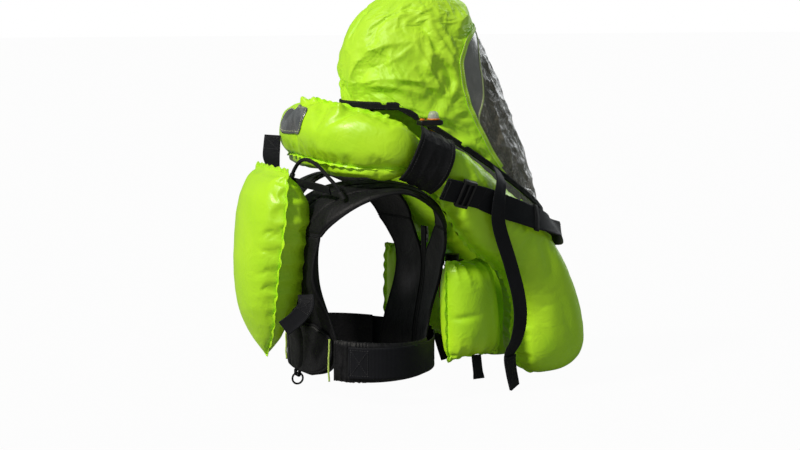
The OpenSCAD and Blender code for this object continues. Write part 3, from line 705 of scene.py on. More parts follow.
@dataclass(frozen=True)
class Woven(Recipe):
    """Woven webbing or tape: ribs across it and a finer twill along it, from its UV map. Its colour has
    painted highlights on the crests and random tone.
    """
    colour: Point
    crest_highlight_tone: Point
    rib: float = 2.1
    sheen: float = 0.3
    roughness: float = 0.6

    def fill(self, g: Graph) -> None:
        """The webbing's nodes."""
        g.set(Sheen_Weight=self.sheen, Sheen_Roughness=0.4, Specular_IOR_Level=0.16)
        # A wave texture repeats every 2 pi / 20 at scale 1, and a rib is that length over the scale.
        ribs = g.waves(0.314 / (self.rib * MM), "X", g.uv, 0.3)
        twill = g.waves(0.314 / (1.1 * MM), "DIAGONAL", g.uv, 0.2)
        cloth = g.maths("MULTIPLY", ribs, g.between(twill, 0.5, 1.0))
        # Painted highlight: the colour turns lighter on the rib and twill crests, scaled by random noise for
        # tone.
        g.colour(g.maths("MULTIPLY", cloth, g.between(g.noise(60, 4), 0.6, 1.3)),
                 [(0.1, self.colour), (0.95, self.crest_highlight_tone)])
        g.rough(g.between(g.noise(90, 2), self.roughness - 0.08, self.roughness + 0.12))
        g.bump((ribs, 0.5, 0.5), (twill, 0.3, 0.3), (g.noise(45, 3), 0.25, 1.5))


@dataclass(frozen=True)
class PaddedMesh(Recipe):
    """Black spacer mesh over foam: round holes in rows, faint satin, and soft creases."""
    colour: Point
    lit: Point

    def fill(self, g: Graph) -> None:
        """The mesh's nodes."""
        g.set(Sheen_Weight=0.05, Sheen_Roughness=0.35, Specular_IOR_Level=0.2)
        holes = g.cells(420, "F1")
        g.colour(g.maths("MULTIPLY", g.between(holes, 1.2, 0.2), g.noise(30, 3)),
                 [(0.15, self.colour), (0.8, self.lit)])
        g.rough(g.between(g.noise(24, 3), 0.42, 0.68))
        soft = g.noise(20, 4, 0.5, warp=0.7)
        g.bump((soft, 0.5, 9), (holes, 0.4, 0.7))


@dataclass(frozen=True)
class Moulded(Recipe):
    """Injection-moulded plastic or rubber: fine grain, rubbed smooth in places."""
    colour: Point
    worn: Point
    roughness: float = 0.42
    grain: float = 0.12

    def fill(self, g: Graph) -> None:
        """The plastic's nodes."""
        g.set(Specular_IOR_Level=0.35)
        rub = g.noise(55, 4, 0.6)
        g.colour(rub, [(0.45, self.colour), (0.8, self.worn)])
        g.rough(g.between(rub, self.roughness - 0.1, self.roughness + 0.14))
        g.bump((g.noise(1600, 2), 0.3, self.grain), (g.noise(120, 2), 0.1, 0.4))


@dataclass(frozen=True)
class SatinSteel(Recipe):
    """Plated steel with fine turning marks and a dulled patchy surface."""
    colour: Point
    marks: Point = (30, 30, 900)

    def fill(self, g: Graph) -> None:
        """The steel's nodes."""
        g.set(Metallic=1.0)
        dull = g.noise(45, 4, 0.6)
        g.colour(dull, [(0.3, tuple(c * 0.78 for c in self.colour)), (0.7, self.colour)])
        g.rough(g.between(dull, 0.26, 0.44))
        g.bump((g.noise(1, 3, where=g.mapped(self.marks)), 0.12, 0.15))


@dataclass(frozen=True)
class ReflectiveTape(Recipe):
    """Grey retroreflective film with a fine grid of cells under a clear face."""
    colour: Point
    bright: Point

    def fill(self, g: Graph) -> None:
        """The tape's nodes."""
        g.set(Metallic=0.55, Coat_Weight=0.6, Coat_Roughness=0.12, Specular_IOR_Level=0.6)
        cells = g.cells(260, "DISTANCE_TO_EDGE")
        cloudy = g.noise(30, 4, 0.6, warp=0.9)
        g.colour(g.maths("ADD", g.maths("MULTIPLY", cloudy, 0.8), g.between(cells, -0.08, 0.25)),
                 [(0.3, self.colour), (0.75, self.bright)])
        g.rough(g.between(cloudy, 0.22, 0.42))
        g.bump((cells, 0.3, 0.35), (cloudy, 0.5, 6))


class Finishes:
    """Every finish that the vest uses, built once."""

    def __init__(self) -> None:
        """Builds the materials."""
        self.bladder = CoatedFabric(
            "bladder_nylon", (0.54, 0.93, 0.022), (0.44, 0.83, 0.016), 0.22, 0.36).finish(Slot.BLADDER)
        self.hood = CoatedFabric(
            "hood_nylon", (0.56, 0.93, 0.034), (0.46, 0.84, 0.024), 0.34, 0.5).finish(Slot.HOOD)
        self.hood_tape = Finish(self.hood.material, Slot.TRIM)
        # The visor film's tones: dark, middle, and a pale stop that is a painted highlight.
        film_tones_and_painted_glints = ((0.115, 0.104, 0.08), (0.19, 0.168, 0.128), (0.4, 0.365, 0.3))
        side = ((0.24, 0.232, 0.22), (0.28, 0.27, 0.26), (0.33, 0.32, 0.31))
        lens = ((0.5, 0.5, 0.5), (0.58, 0.58, 0.58), (0.66, 0.66, 0.66))
        self.film = VisorFilm("visor_film_crinkled", 1.0, 0.8, film_tones_and_painted_glints).finish(Slot.VISOR)
        self.window = VisorFilm("visor_film_smooth", 0.12, 0.86, side).finish(Slot.VISOR)
        self.lens = VisorFilm("light_lens", 0.1, 0.6, lens).finish(Slot.VISOR)
        self.trim = Woven("lime_tape", (0.50, 0.70, 0.10), (0.68, 0.84, 0.28), 1.2, 0.1).finish(Slot.TRIM)
        self.webbing = Woven(
            "black_webbing", (0.004, 0.0045, 0.006), (0.014, 0.015, 0.021), 2.1, 0.04).finish(Slot.WEBBING)
        self.binding = Woven(
            "black_binding", (0.004, 0.004, 0.005), (0.015, 0.016, 0.02), 1.3, 0.04).finish(Slot.WEBBING)
        self.braid = Woven(
            "black_braid", (0.005, 0.005, 0.006), (0.02, 0.021, 0.026), 1.6, 0.05).finish(Slot.WEBBING)
        self.mesh = PaddedMesh(
            "vest_spacer_mesh", (0.0035, 0.0035, 0.0045), (0.013, 0.0135, 0.016)).finish(Slot.MESH)
        self.thread = Moulded("pale_thread", (0.62, 0.68, 0.4), (0.72, 0.78, 0.5), 0.6).finish(Slot.TRIM)
        self.dark_thread = Moulded(
            "black_thread", (0.03, 0.03, 0.034), (0.06, 0.06, 0.066), 0.6).finish(Slot.WEBBING)
        self.plastic = Moulded(
            "black_acetal", (0.006, 0.006, 0.007), (0.018, 0.018, 0.02), 0.36).finish(Slot.BLACK_PLASTIC)
        self.orange = Moulded(
            "orange_moulding", (0.86, 0.22, 0.012), (0.92, 0.34, 0.04), 0.34).finish(Slot.ORANGE_PLASTIC)
        self.rubber = Moulded(
            "black_rubber", (0.012, 0.012, 0.013), (0.03, 0.03, 0.03), 0.6, 0.2).finish(Slot.RUBBER)
        self.steel = SatinSteel("plated_steel", (0.58, 0.58, 0.6)).finish(Slot.STEEL)
        self.tape = ReflectiveTape(
            "reflective_film", (0.13, 0.135, 0.145), (0.5, 0.51, 0.54)).finish(Slot.TAPE)


def fit(piece: Piece, finish: Finish, nodes: Sequence[str] = (), body: str = "vest") -> Piece:
    """Dresses a piece, puts it on its body, and hides the CAD nodes that it stands for."""
    finish.put_on(piece)
    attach(piece, body)
    if nodes:
        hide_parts(*nodes)
    LOG.info("%s: %d points", piece.name, len(piece.data.vertices))
    return piece


def sew(name: str, rows: Sequence[tuple[Array, Array]], pitch: float, length: float, r: float,
        looks: Finishes) -> None:
    """Rows of black stitches in a strap or a band, as stitches() makes them."""
    fit(stitches(f"{name}_stitches", rows, pitch, length, r), looks.dark_thread)


def weld(piece: Piece, gap: float = 0.05) -> Piece:
    """Joins a piece's points that lie within gap of each other, and faces it outwards."""
    work = bmesh.new()
    work.from_mesh(piece.data)
    bmesh.ops.remove_doubles(work, verts=work.verts, dist=gap * MM)
    bmesh.ops.dissolve_degenerate(work, edges=work.edges, dist=gap * MM * 0.5)
    bmesh.ops.recalc_face_normals(work, faces=work.faces)
    work.to_mesh(piece.data)
    work.free()
    return piece


def ring_band(name: str, rings: Array) -> Piece:
    """A closed loop of closed sections, such as a binding round a hem."""
    n, m = rings.shape[:2]
    i, j = np.meshgrid(np.arange(n), np.arange(m), indexing="ij")
    ni, nj = (i + 1) % n, (j + 1) % m
    faces = columns(i * m + j, i * m + nj, ni * m + nj, ni * m + j).reshape(-1, 4)
    far = distances(rings[:, 0]) * MM
    uv = columns(far[:, None], steps_over(0, 0.01, m))
    return face_out(make_object(name, rings, faces.tolist(), uv))


def rope_loop(name: str, path: Array, radius: float, sides: int) -> Piece:
    """A closed round binding or cord along a closed path whose last point isn't its first."""
    along = unit(np.roll(path, -1, 0) - np.roll(path, 1, 0))
    return ring_band(name, round_rings(path, along, radius, sides))


def hoop(name: str, centre: Array, radius: float, thick: float, axes: tuple[int, int],
         sides: int, count: int = 40) -> Piece:
    """A round ring of cord or wire in the plane of two axes, each a number from 0 to 2."""
    turn = circle(count)
    path = np.zeros((count, 3))
    path[:, axes[0]] = radius * np.cos(turn)
    path[:, axes[1]] = radius * np.sin(turn)
    return rope_loop(name, np.array(centre) + path, thick, sides)


# ---- Bladders ----
SECTION_POWER = 0.82
SHOULDER = (-146, 38, -2)
COLLAR_LINE = ((146, 38, -2), (142, 88, 15), (94, 138, 25), (0, 155, 28),
               (-94, 138, 25), (-142, 88, 15), SHOULDER)
CHEST_LINE = (SHOULDER, (-141, -26, -35), (-121, -92, -96), (-101, -150, -157), (-89, -188, -224),
              (-83, -208, -296), (-80, -213, -373))
CHEST_UP = (0, -1, 0.12)
UPRIGHT = (0, 0, 1)
NECK_GAP = 0.1


def tube_point(line: Sequence[Point], t: Array, up: Point, half_w: Array, half_h: Array, a: Array) -> Array:
    """A point on a tube with a round-cornered section.

    Args:
        line: the tube's middle line.
        t: places along the line.
        up: the direction that the section's height leans towards.
        half_w: half of the section's width, which lies along the line's direction x up.
        half_h: half of its height.
        a: angles round the section, from its width towards its height.

    Returns:
        middle + width direction w cos(a)^p + height direction h sin(a)^p.
    """
    t, half_w, half_h, a = np.broadcast_arrays(t, half_w, half_h, np.radians(a))
    along = unit(spline(line, t + 0.02) - spline(line, t - 0.02))
    u = unit(np.cross(along, np.array(up, float)))
    v = np.cross(u, along)
    return (spline(line, t) + u * (half_w * spow(np.cos(a), SECTION_POWER))[..., None]
            + v * (half_h * spow(np.sin(a), SECTION_POWER))[..., None])


def weld_lip(name: str, path: Array, outwards: Array, width: float = 7.0) -> Piece:
    """The flat lip that stands out from a bladder's welded seam, puckered along its edge.

    Args:
        name: the piece's name.
        path: the seam's line.
        outwards: the direction in which the lip stands at each point.
        width: the lip's width, a third of which lies inside the seam.

    Returns:
        A strip that tilts to and fro by a sine of the distance along the seam.
    """
    line = even(np.concatenate([path, outwards], axis=1), 2.0)
    path, out = line[:, :3], unit(line[:, 3:])
    far = 2.0 * np.arange(len(path))
    pucker = np.sin(far / 4.2 + 1.3 * np.sin(far / 27))[:, None]
    wide = width * (1 + 0.17 * np.sin(far / 3.4 + 2 * np.sin(far / 19)))
    face = unit(np.cross(np.gradient(path, axis=0), out))
    middle = path + out * (wide / 2 - width / 3)[:, None] + face * 0.6 * pucker
    return strap(name, middle, face + out * 0.32 * pucker, wide, 0.9, 2.0)


def pillow_lip(name: str, grid: Array, width: float = 7.0) -> Piece:
    """The lip all round a pillow whose first and middle columns, and end rows, lie on its seam."""
    cols = grid.shape[1]
    k = np.arange(cols // 2 + 1)
    top, bottom = ((grid[r, k] + grid[r, -k % cols]) / 2 for r in (0, -1))
    loop = np.concatenate([top[::-1], grid[1:-1, 0], bottom, grid[1:-1, cols // 2][::-1], top[-1:]])
    loop = even(loop, 2.0)
    middle = loop.mean(0)
    normal = unit(np.cross(loop[:-1] - middle, loop[1:] - middle).sum(0))
    out = np.cross(unit(np.gradient(loop, axis=0)), normal)
    for _ in range(6):
        out[1:-1] = unit(out[:-2] + out[1:-1] + out[2:])
    return weld_lip(name, loop, out, width)


def fit_pair(word: str, skin: Piece, lip: Piece, looks: Finishes) -> None:
    """Dresses the right side's bladder and its lip, and mirrors both for the left."""
    fit(mirror_copy(lip, f"{word}_lip_left"), looks.bladder)
    fit(lip, looks.bladder)
    other = mirror_copy(skin, f"{word}_bladder_left_skin")
    for piece, side in ((skin, Side.RIGHT), (other, Side.LEFT)):
        fit(subdivide(piece), looks.bladder, [f"{word}_bladder_{side.word}"])


@dataclass
class CollarBladder:
    """The horseshoe round the nape: two sheets welded along the top and the bottom."""
    half_w: float = 45
    half_h: float = 59
    rows: int = 120
    cols: int = 72
    start: float = NECK_GAP
    rest_gap: float = 2.5

    def surface(self, t: Array, a: Array, off: Array = 0.0) -> Array:
        """A point at t along the collar, 0 at its left end and 6 at its right, and at an angle.

        The angle is 0 at the outside, 90 on top and -90 underneath.
        """
        n = len(COLLAR_LINE) - 1
        near = np.minimum(t - self.start, n - self.start - t)
        fill = mix(0.6, 1, smooth(near / 0.85))
        high = mix(50, self.half_h, smooth(near / 2))
        return tube_point(COLLAR_LINE, t, UPRIGHT, self.half_w * fill + off, high * fill + off, a)

    def relief(self, t: Array, a: Array) -> Array:
        """Height of the seams' crests, puckers, pinched corners and creases off the tube."""
        under = a + 42 + 5 * np.sin(t * 2.1)
        top = a - 84
        pucker = np.abs(np.sin(t * 17 + 0.7 * np.sin(t * 5)))
        low = hump(under, 7) * -3.6 + hump(under + 13, 9) * 1.5
        seam = hump(top, 5) * 3 - 2.2 * pucker * hump(top, 22) - 1.6 * pucker * hump(under, 16)
        ears = (17 * hump(t - 3.02, 0.1) * hump(a - 66, 8) + 14 * hump(t - 3.2, 0.06) * hump(a - 78, 7)
                + 15 * hump(t - 3.98, 0.08) * hump(a - 68, 8))
        pinch = (-5.5 * hump(t - 3.62 + 0.004 * (a - 60), 0.13) * hump(a - 62, 26)
                 - 5 * hump(t - 4.2 - 0.006 * (a - 60), 0.07) * hump(a - 50, 26)
                 - 3.2 * hump(t - 2.72, 0.09) * hump(a - 60, 30))
        soft = 1.6 * lattice_noise(columns(t * 2.2, a / 38, 0 * t), 3)
        return low + seam + ears + pinch + soft

    def build(self, looks: Finishes) -> None:
        """Makes the collar and blows it up."""
        n = len(COLLAR_LINE) - 1
        t = steps_down(self.start, n - self.start, self.rows)
        t, a = np.broadcast_arrays(t, half_turns(self.cols)[None, :])
        ends = smooth(np.minimum(t - self.start, n - self.start - t) / 0.25)
        piece = loft("collar_bladder_skin", self.surface(t, a, self.relief(t, a) * ends - self.rest_gap))
        seam = np.maximum(hump(a - 84, 5), 0.8 * hump(a + 42, 5)).ravel()
        pin = np.broadcast_to(1 - ends, a.shape).ravel() + 0.55 * (self.relief(t, a) > 7).ravel()
        tail = np.zeros(2)
        Inflation(5, 18, 6, 18, 0.3, (-0.015, 0.07)).run(
            piece, np.concatenate([seam, tail]), np.concatenate([clamp01(pin), tail + 1]))
        grid = points_of(piece)[:self.rows * self.cols].reshape(self.rows, self.cols, 3)
        for word, angle, reach in (("top", 85, 1.1), ("low", -40, 0.5)):
            rows = np.flatnonzero(np.minimum(t[:, 0], n - t[:, 0]) > reach)
            centre = spline(COLLAR_LINE, t[rows, 0])
            col = int(np.argmin(np.abs(a[0] - angle)))
            lip = weld_lip(f"collar_{word}_lip", grid[rows, col], unit(grid[rows, col] - centre), 6.0)
            fit(lip, looks.bladder)
        fit(subdivide(piece), looks.bladder, ["collar_bladder"])


@dataclass
class ChestBladders:
    """The two long chest lobes. Both sheets' welded edges run down the front and the rear."""
    widths: tuple = (0.75, 0.77, 0.86, 0.95, 1, 1.02, 1)
    heights: tuple = (0.64, 0.66, 0.77, 0.89, 0.98, 1.02, 1)
    rears: tuple = (1, 0.92, 1.08, 0.68, 0.6, 0.78, 0.86)
    half_t: float = 59
    half_w: float = 75
    rows: int = 110
    cols: int = 76
    rest_gap: float = 2.5

    def at(self, t: Array, a: Array, off: Array) -> Array:
        """A point off the right lobe's full section; 0 degrees faces outwards and 90 forwards."""
        return tube_point(CHEST_LINE, t, CHEST_UP, spline(self.widths, t) * self.half_t + off,
                          spline(self.heights, t) * self.half_w + off, a)

    def out(self, t: Array, a: Array) -> Array:
        """The outward direction there."""
        return unit(self.at(t, a, 12) - self.at(t, a, 0))

    def surface(self, t: Array, a: Array, off: Array) -> Array:
        """A point on the right lobe, with its flat rear edge and its closed ends."""
        n = len(CHEST_LINE) - 1
        s = (t - NECK_GAP) / (n - NECK_GAP)
        end = (1 - clamp01((s - 0.86) / 0.145) ** 2.4) ** (1 / 2.4)
        fill = mix(0.62, 1, smooth(t / 0.8)) * end
        rear = np.where(np.sin(np.radians(a)) < 0, spline(self.rears, t), 1)
        return tube_point(CHEST_LINE, t, CHEST_UP, spline(self.widths, t) * self.half_t * fill + off,
                          spline(self.heights, t) * self.half_w * rear * fill + off, a)

    def relief(self, t: Array, a: Array) -> Array:
        """Crests and puckers along both seams, the strap's dent, and long soft folds."""
        front, rear = a - 92, a + 78
        pucker = np.abs(np.sin(t * 13.5 + 1.2 * np.sin(t * 3)))
        seams = (2.2 * hump(front, 4) + 4.2 * hump(rear, 6) - 1.8 * pucker * hump(front, 20)
                 - 4.2 * pucker * hump(rear, 26))
        lean, start, stop = 16 * np.sin(t * 1.1), smooth((t - 2.6) / 1.2), smooth((5.7 - t) / 0.9)
        fold = -3.4 * hump(a - 30 - lean, 7) * start * stop
        crest = 2.4 * hump(a - 46 - lean, 12) * start * stop
        soft = 1.7 * lattice_noise(columns(t * 1.6, a / 44, 0 * t), 11)
        return seams + fold + crest + soft

    def build(self, looks: Finishes) -> None:
        """Makes the right lobe, blows it up, and mirrors it for the left."""
        n = len(CHEST_LINE) - 1
        s = 1 - (1 - np.linspace(0, 1, self.rows)) ** 1.35
        t = mix(NECK_GAP, n, s)[:, None]
        t, a = np.broadcast_arrays(t, half_turns(self.cols)[None, :])
        ends = smooth((t - NECK_GAP) / 0.25) * smooth((n - t) / 0.35)
        off = self.relief(t, a) * ends - self.rest_gap * (t < n)
        piece = loft("chest_bladder_right_skin", self.surface(t, a, off))
        seam = np.maximum(0.8 * hump(a - 92, 5), hump(a + 78, 6)).ravel()
        pin = (1 - smooth((t - NECK_GAP) / 0.25)).ravel()
        tail = np.zeros(2)
        Inflation(5, 18, 6, 18, 0.3, (-0.015, 0.08)).run(
            piece, np.concatenate([seam, tail]), np.concatenate([pin, tail]))
        grid = points_of(piece)[:self.rows * self.cols].reshape(self.rows, self.cols, 3)
        front, rear = (int(np.argmin(np.abs(a[0] - angle))) for angle in (92, -78))
        down = np.flatnonzero((t[:, 0] > 2.3) & (t[:, 0] < n - 0.004))
        up = np.flatnonzero((t[:, 0] > 0.8) & (t[:, 0] < n - 0.004))[::-1]
        path = np.concatenate([grid[down, front], grid[up, rear]])
        centre = spline(CHEST_LINE, np.minimum(n - 0.55, np.concatenate([t[down, 0], t[up, 0]])))
        lip = weld_lip("chest_lip_right", path, unit(path - centre), 5.0)
        fit_pair("chest", piece, lip, looks)


@dataclass
class InnerBladders:
    """The upright pillow at each side of the chest: two flat sheets welded round their edge."""
    top: float = -173
    bottom: float = -328
    turn: float = 20
    half_x: float = 41
    rows: int = 64
    cols: int = 76

    def surface(self) -> tuple[Array, Array]:
        """The blown-up pillow and its two flat sheets, on the same grid."""
        b = steps_down(0, np.pi, self.rows)
        a = circle(self.cols)[None, :]
        down = (1 - np.cos(b)) / 2
        z = mix(self.top, self.bottom, down)
        fill = np.maximum(0.04, (1 - np.abs(np.cos(b)) ** 3.2) ** 0.45)
        end = np.abs(np.cos(b))
        long = mix(45, 57, down) * (0.97 - 0.07 * hump(end - 0.93, 0.05))
        scallop = np.abs(np.sin(a * 6.5 + 0.6))
        pucker = 1 - 0.5 * scallop * end ** 5 + 0.12 * end ** 3
        dent = 1 - 0.22 * hump(b - 1.62 - 0.1 * np.cos(a), 0.06) * hump(a - 5.75, 0.5)
        x = self.half_x * 0.95 * fill * spow(np.sin(a), 0.86) * pucker * dent
        y = long * spow(np.cos(a), 0.86)
        way = np.sign(np.cos(b))
        z = z - 5 * scallop * end ** 14 * way + 5 * np.abs(np.cos(a)) ** 6 * end ** 14 * way
        turn = math.radians(self.turn)
        place = columns(
            -110 + x * math.cos(turn) - y * math.sin(turn),
            mix(-60, -72, down) + x * math.sin(turn) + y * math.cos(turn), z)
        folded = 2 * np.abs(a - np.pi) / np.pi - 1
        flat_y = mix(66, 79, b / np.pi) * folded
        flat_z = mix(-157, -345, b / np.pi)
        side = np.where(a < np.pi, -1.0, 1.0) * 1.5 * np.sin(b)
        flat = columns(-110 + side, -66 + flat_y, flat_z)
        return place, flat

    def build(self, looks: Finishes) -> None:
        """Makes the right pillow, blows it up, and mirrors it for the left."""
        place, flat = self.surface()
        piece = loft("inner_bladder_right_skin", place)
        Inflation(6, 26, 9, 22, 0.25).run(piece, flat=with_ends(flat))
        lip = pillow_lip("inner_lip_right", points_of(piece)[:-2].reshape(self.rows, self.cols, 3))
        fit_pair("inner", piece, lip, looks)


@dataclass
class BackBladder:
    """The shield-shaped pillow behind the spine: a flatter front sheet and a full rear sheet."""
    top: float = -15
    bottom: float = -328
    half_w: float = 118
    widths: tuple = (0.66, 0.79, 0.835, 0.815, 0.77, 0.7, 0.6, 0.4, 0.04)
    seam_y: tuple = (232, 235, 238, 241, 244, 246, 247, 246, 244)
    fills: tuple = (0.08, 0.72, 0.95, 1, 1, 0.93, 0.76, 0.45, 0.06)
    rows: int = 96
    cols: int = 100

    def surface(self) -> tuple[Array, Array]:
        """The blown-up shield and its two flat sheets, on the same grid."""
        r = steps_down(0, 1, self.rows)
        a = circle(self.cols)[None, :]
        t = 8 * r
        z = mix(self.top, self.bottom, r)
        w, y, f = spline(self.widths, t) * self.half_w, spline(self.seam_y, t), spline(self.fills, t)
        s = np.cos(a)
        rear = np.sin(a) > 0
        scallop = np.abs(np.sin(r * 34 + 0.8 * np.sin(r * 9)))
        edge = np.abs(s) ** 10
        bulge = np.where(rear, 37 * (1 - s * s) ** 0.62, -(1 - s ** 6) ** 0.8 * (25 + 44 * np.abs(s) ** 1.5))
        flap = 13 * hump(r - 0.87, 0.035) * hump(s - 1, 0.12)
        x = w * s * (1 - 0.035 * scallop * edge) + flap
        place = columns(
            x, y + bulge * f * (1 - 0.09 * scallop * np.abs(s) ** 3) + 2.5 * scallop * edge * f, z)
        folded = 2 * np.abs(a - np.pi) / np.pi - 1
        flat_w = w * 1.27 + 6
        flat = columns(flat_w * folded, 245 + np.where(rear, 1.5, -1.5),
                                            mix(self.top + 18, self.bottom - 16, r))
        return place, flat

    def build(self, looks: Finishes) -> None:
        """Makes the bladder and blows it up."""
        place, flat = self.surface()
        piece = loft("back_bladder_skin", place)
        Inflation(6, 24, 8, 22, 0.25).run(piece, flat=with_ends(flat))
        lip = pillow_lip("back_bladder_lip", points_of(piece)[:-2].reshape(self.rows, self.cols, 3), 8.0)
        fit(lip, looks.bladder, body="back_bladder")
        fit(subdivide(piece), looks.bladder, ["back_bladder"], "back_bladder")


# ---- Hood ----
@dataclass(frozen=True)
class Fold:
    """A crease in the hood between two places, each an angle in degrees and a height."""
    start: tuple[float, float]
    end: tuple[float, float]
    deep: float
    wide: float

    def height(self, along: Array, up: Array) -> Array:
        """A sharp crest with a soft valley on one side, which fades out past both ends."""
        p, q = (np.array([angle * HOOD_ARC, high]) for angle, high in (self.start, self.end))
        run = q - p
        length = float(np.hypot(*run))
        dx, dz = along - p[0], up - p[1]
        far = (dx * run[0] + dz * run[1]) / length ** 2
        off = (dx * run[1] - dz * run[0]) / length + 0.06 * length * np.sin(np.pi * clamp01(far))
        crest = np.exp(-(np.abs(off) / self.wide) ** 1.25)
        valley = hump(off - 1.9 * self.wide, 1.1 * self.wide)
        return self.deep * (crest - 0.55 * valley) * smooth((far + 0.15) / 0.35) * smooth((1.15 - far) / 0.35)


HOOD_ARC = 1.75
HOOD_FOLDS = (
    Fold((84, 212), (103, 124), 6.5, 7), Fold((94, 206), (105, 158), 5, 5),
    Fold((83, 190), (80, 136), 4.5, 6), Fold((89, 160), (103, 110), 5.5, 6),
    Fold((72, 174), (84, 88), 5, 7), Fold((27, 112), (76, 117), 5.5, 8),
    Fold((36, 107), (73, 97), 5, 6), Fold((28, 158), (67, 177), 5, 12),
    Fold((69, 172), (42, 138), 4.5, 9), Fold((76, 143), (86, 90), 4.5, 5),
    Fold((86, 132), (90, 88), 4, 4.5), Fold((58, 60), (99, 50), 4.5, 6),
    Fold((68, 68), (98, 34), 5, 6), Fold((98, 113), (79, 60), 4.5, 6),
    Fold((103, 102), (115, 10), 6, 6), Fold((100, 16), (120, -42), 5.5, 6),
    Fold((36, 82), (79, 65), 4.5, 6), Fold((10, 94), (25, 152), 4.5, 9),
    Fold((48, 234), (90, 214), 4, 10), Fold((87, 58), (106, 72), 4, 5),
    Fold((86, 24), (110, -14), 5, 6), Fold((60, 205), (80, 228), 3.5, 10),
    Fold((110, 196), (140, 222), 4, 8), Fold((120, 214), (170, 238), 3.5, 9),
)


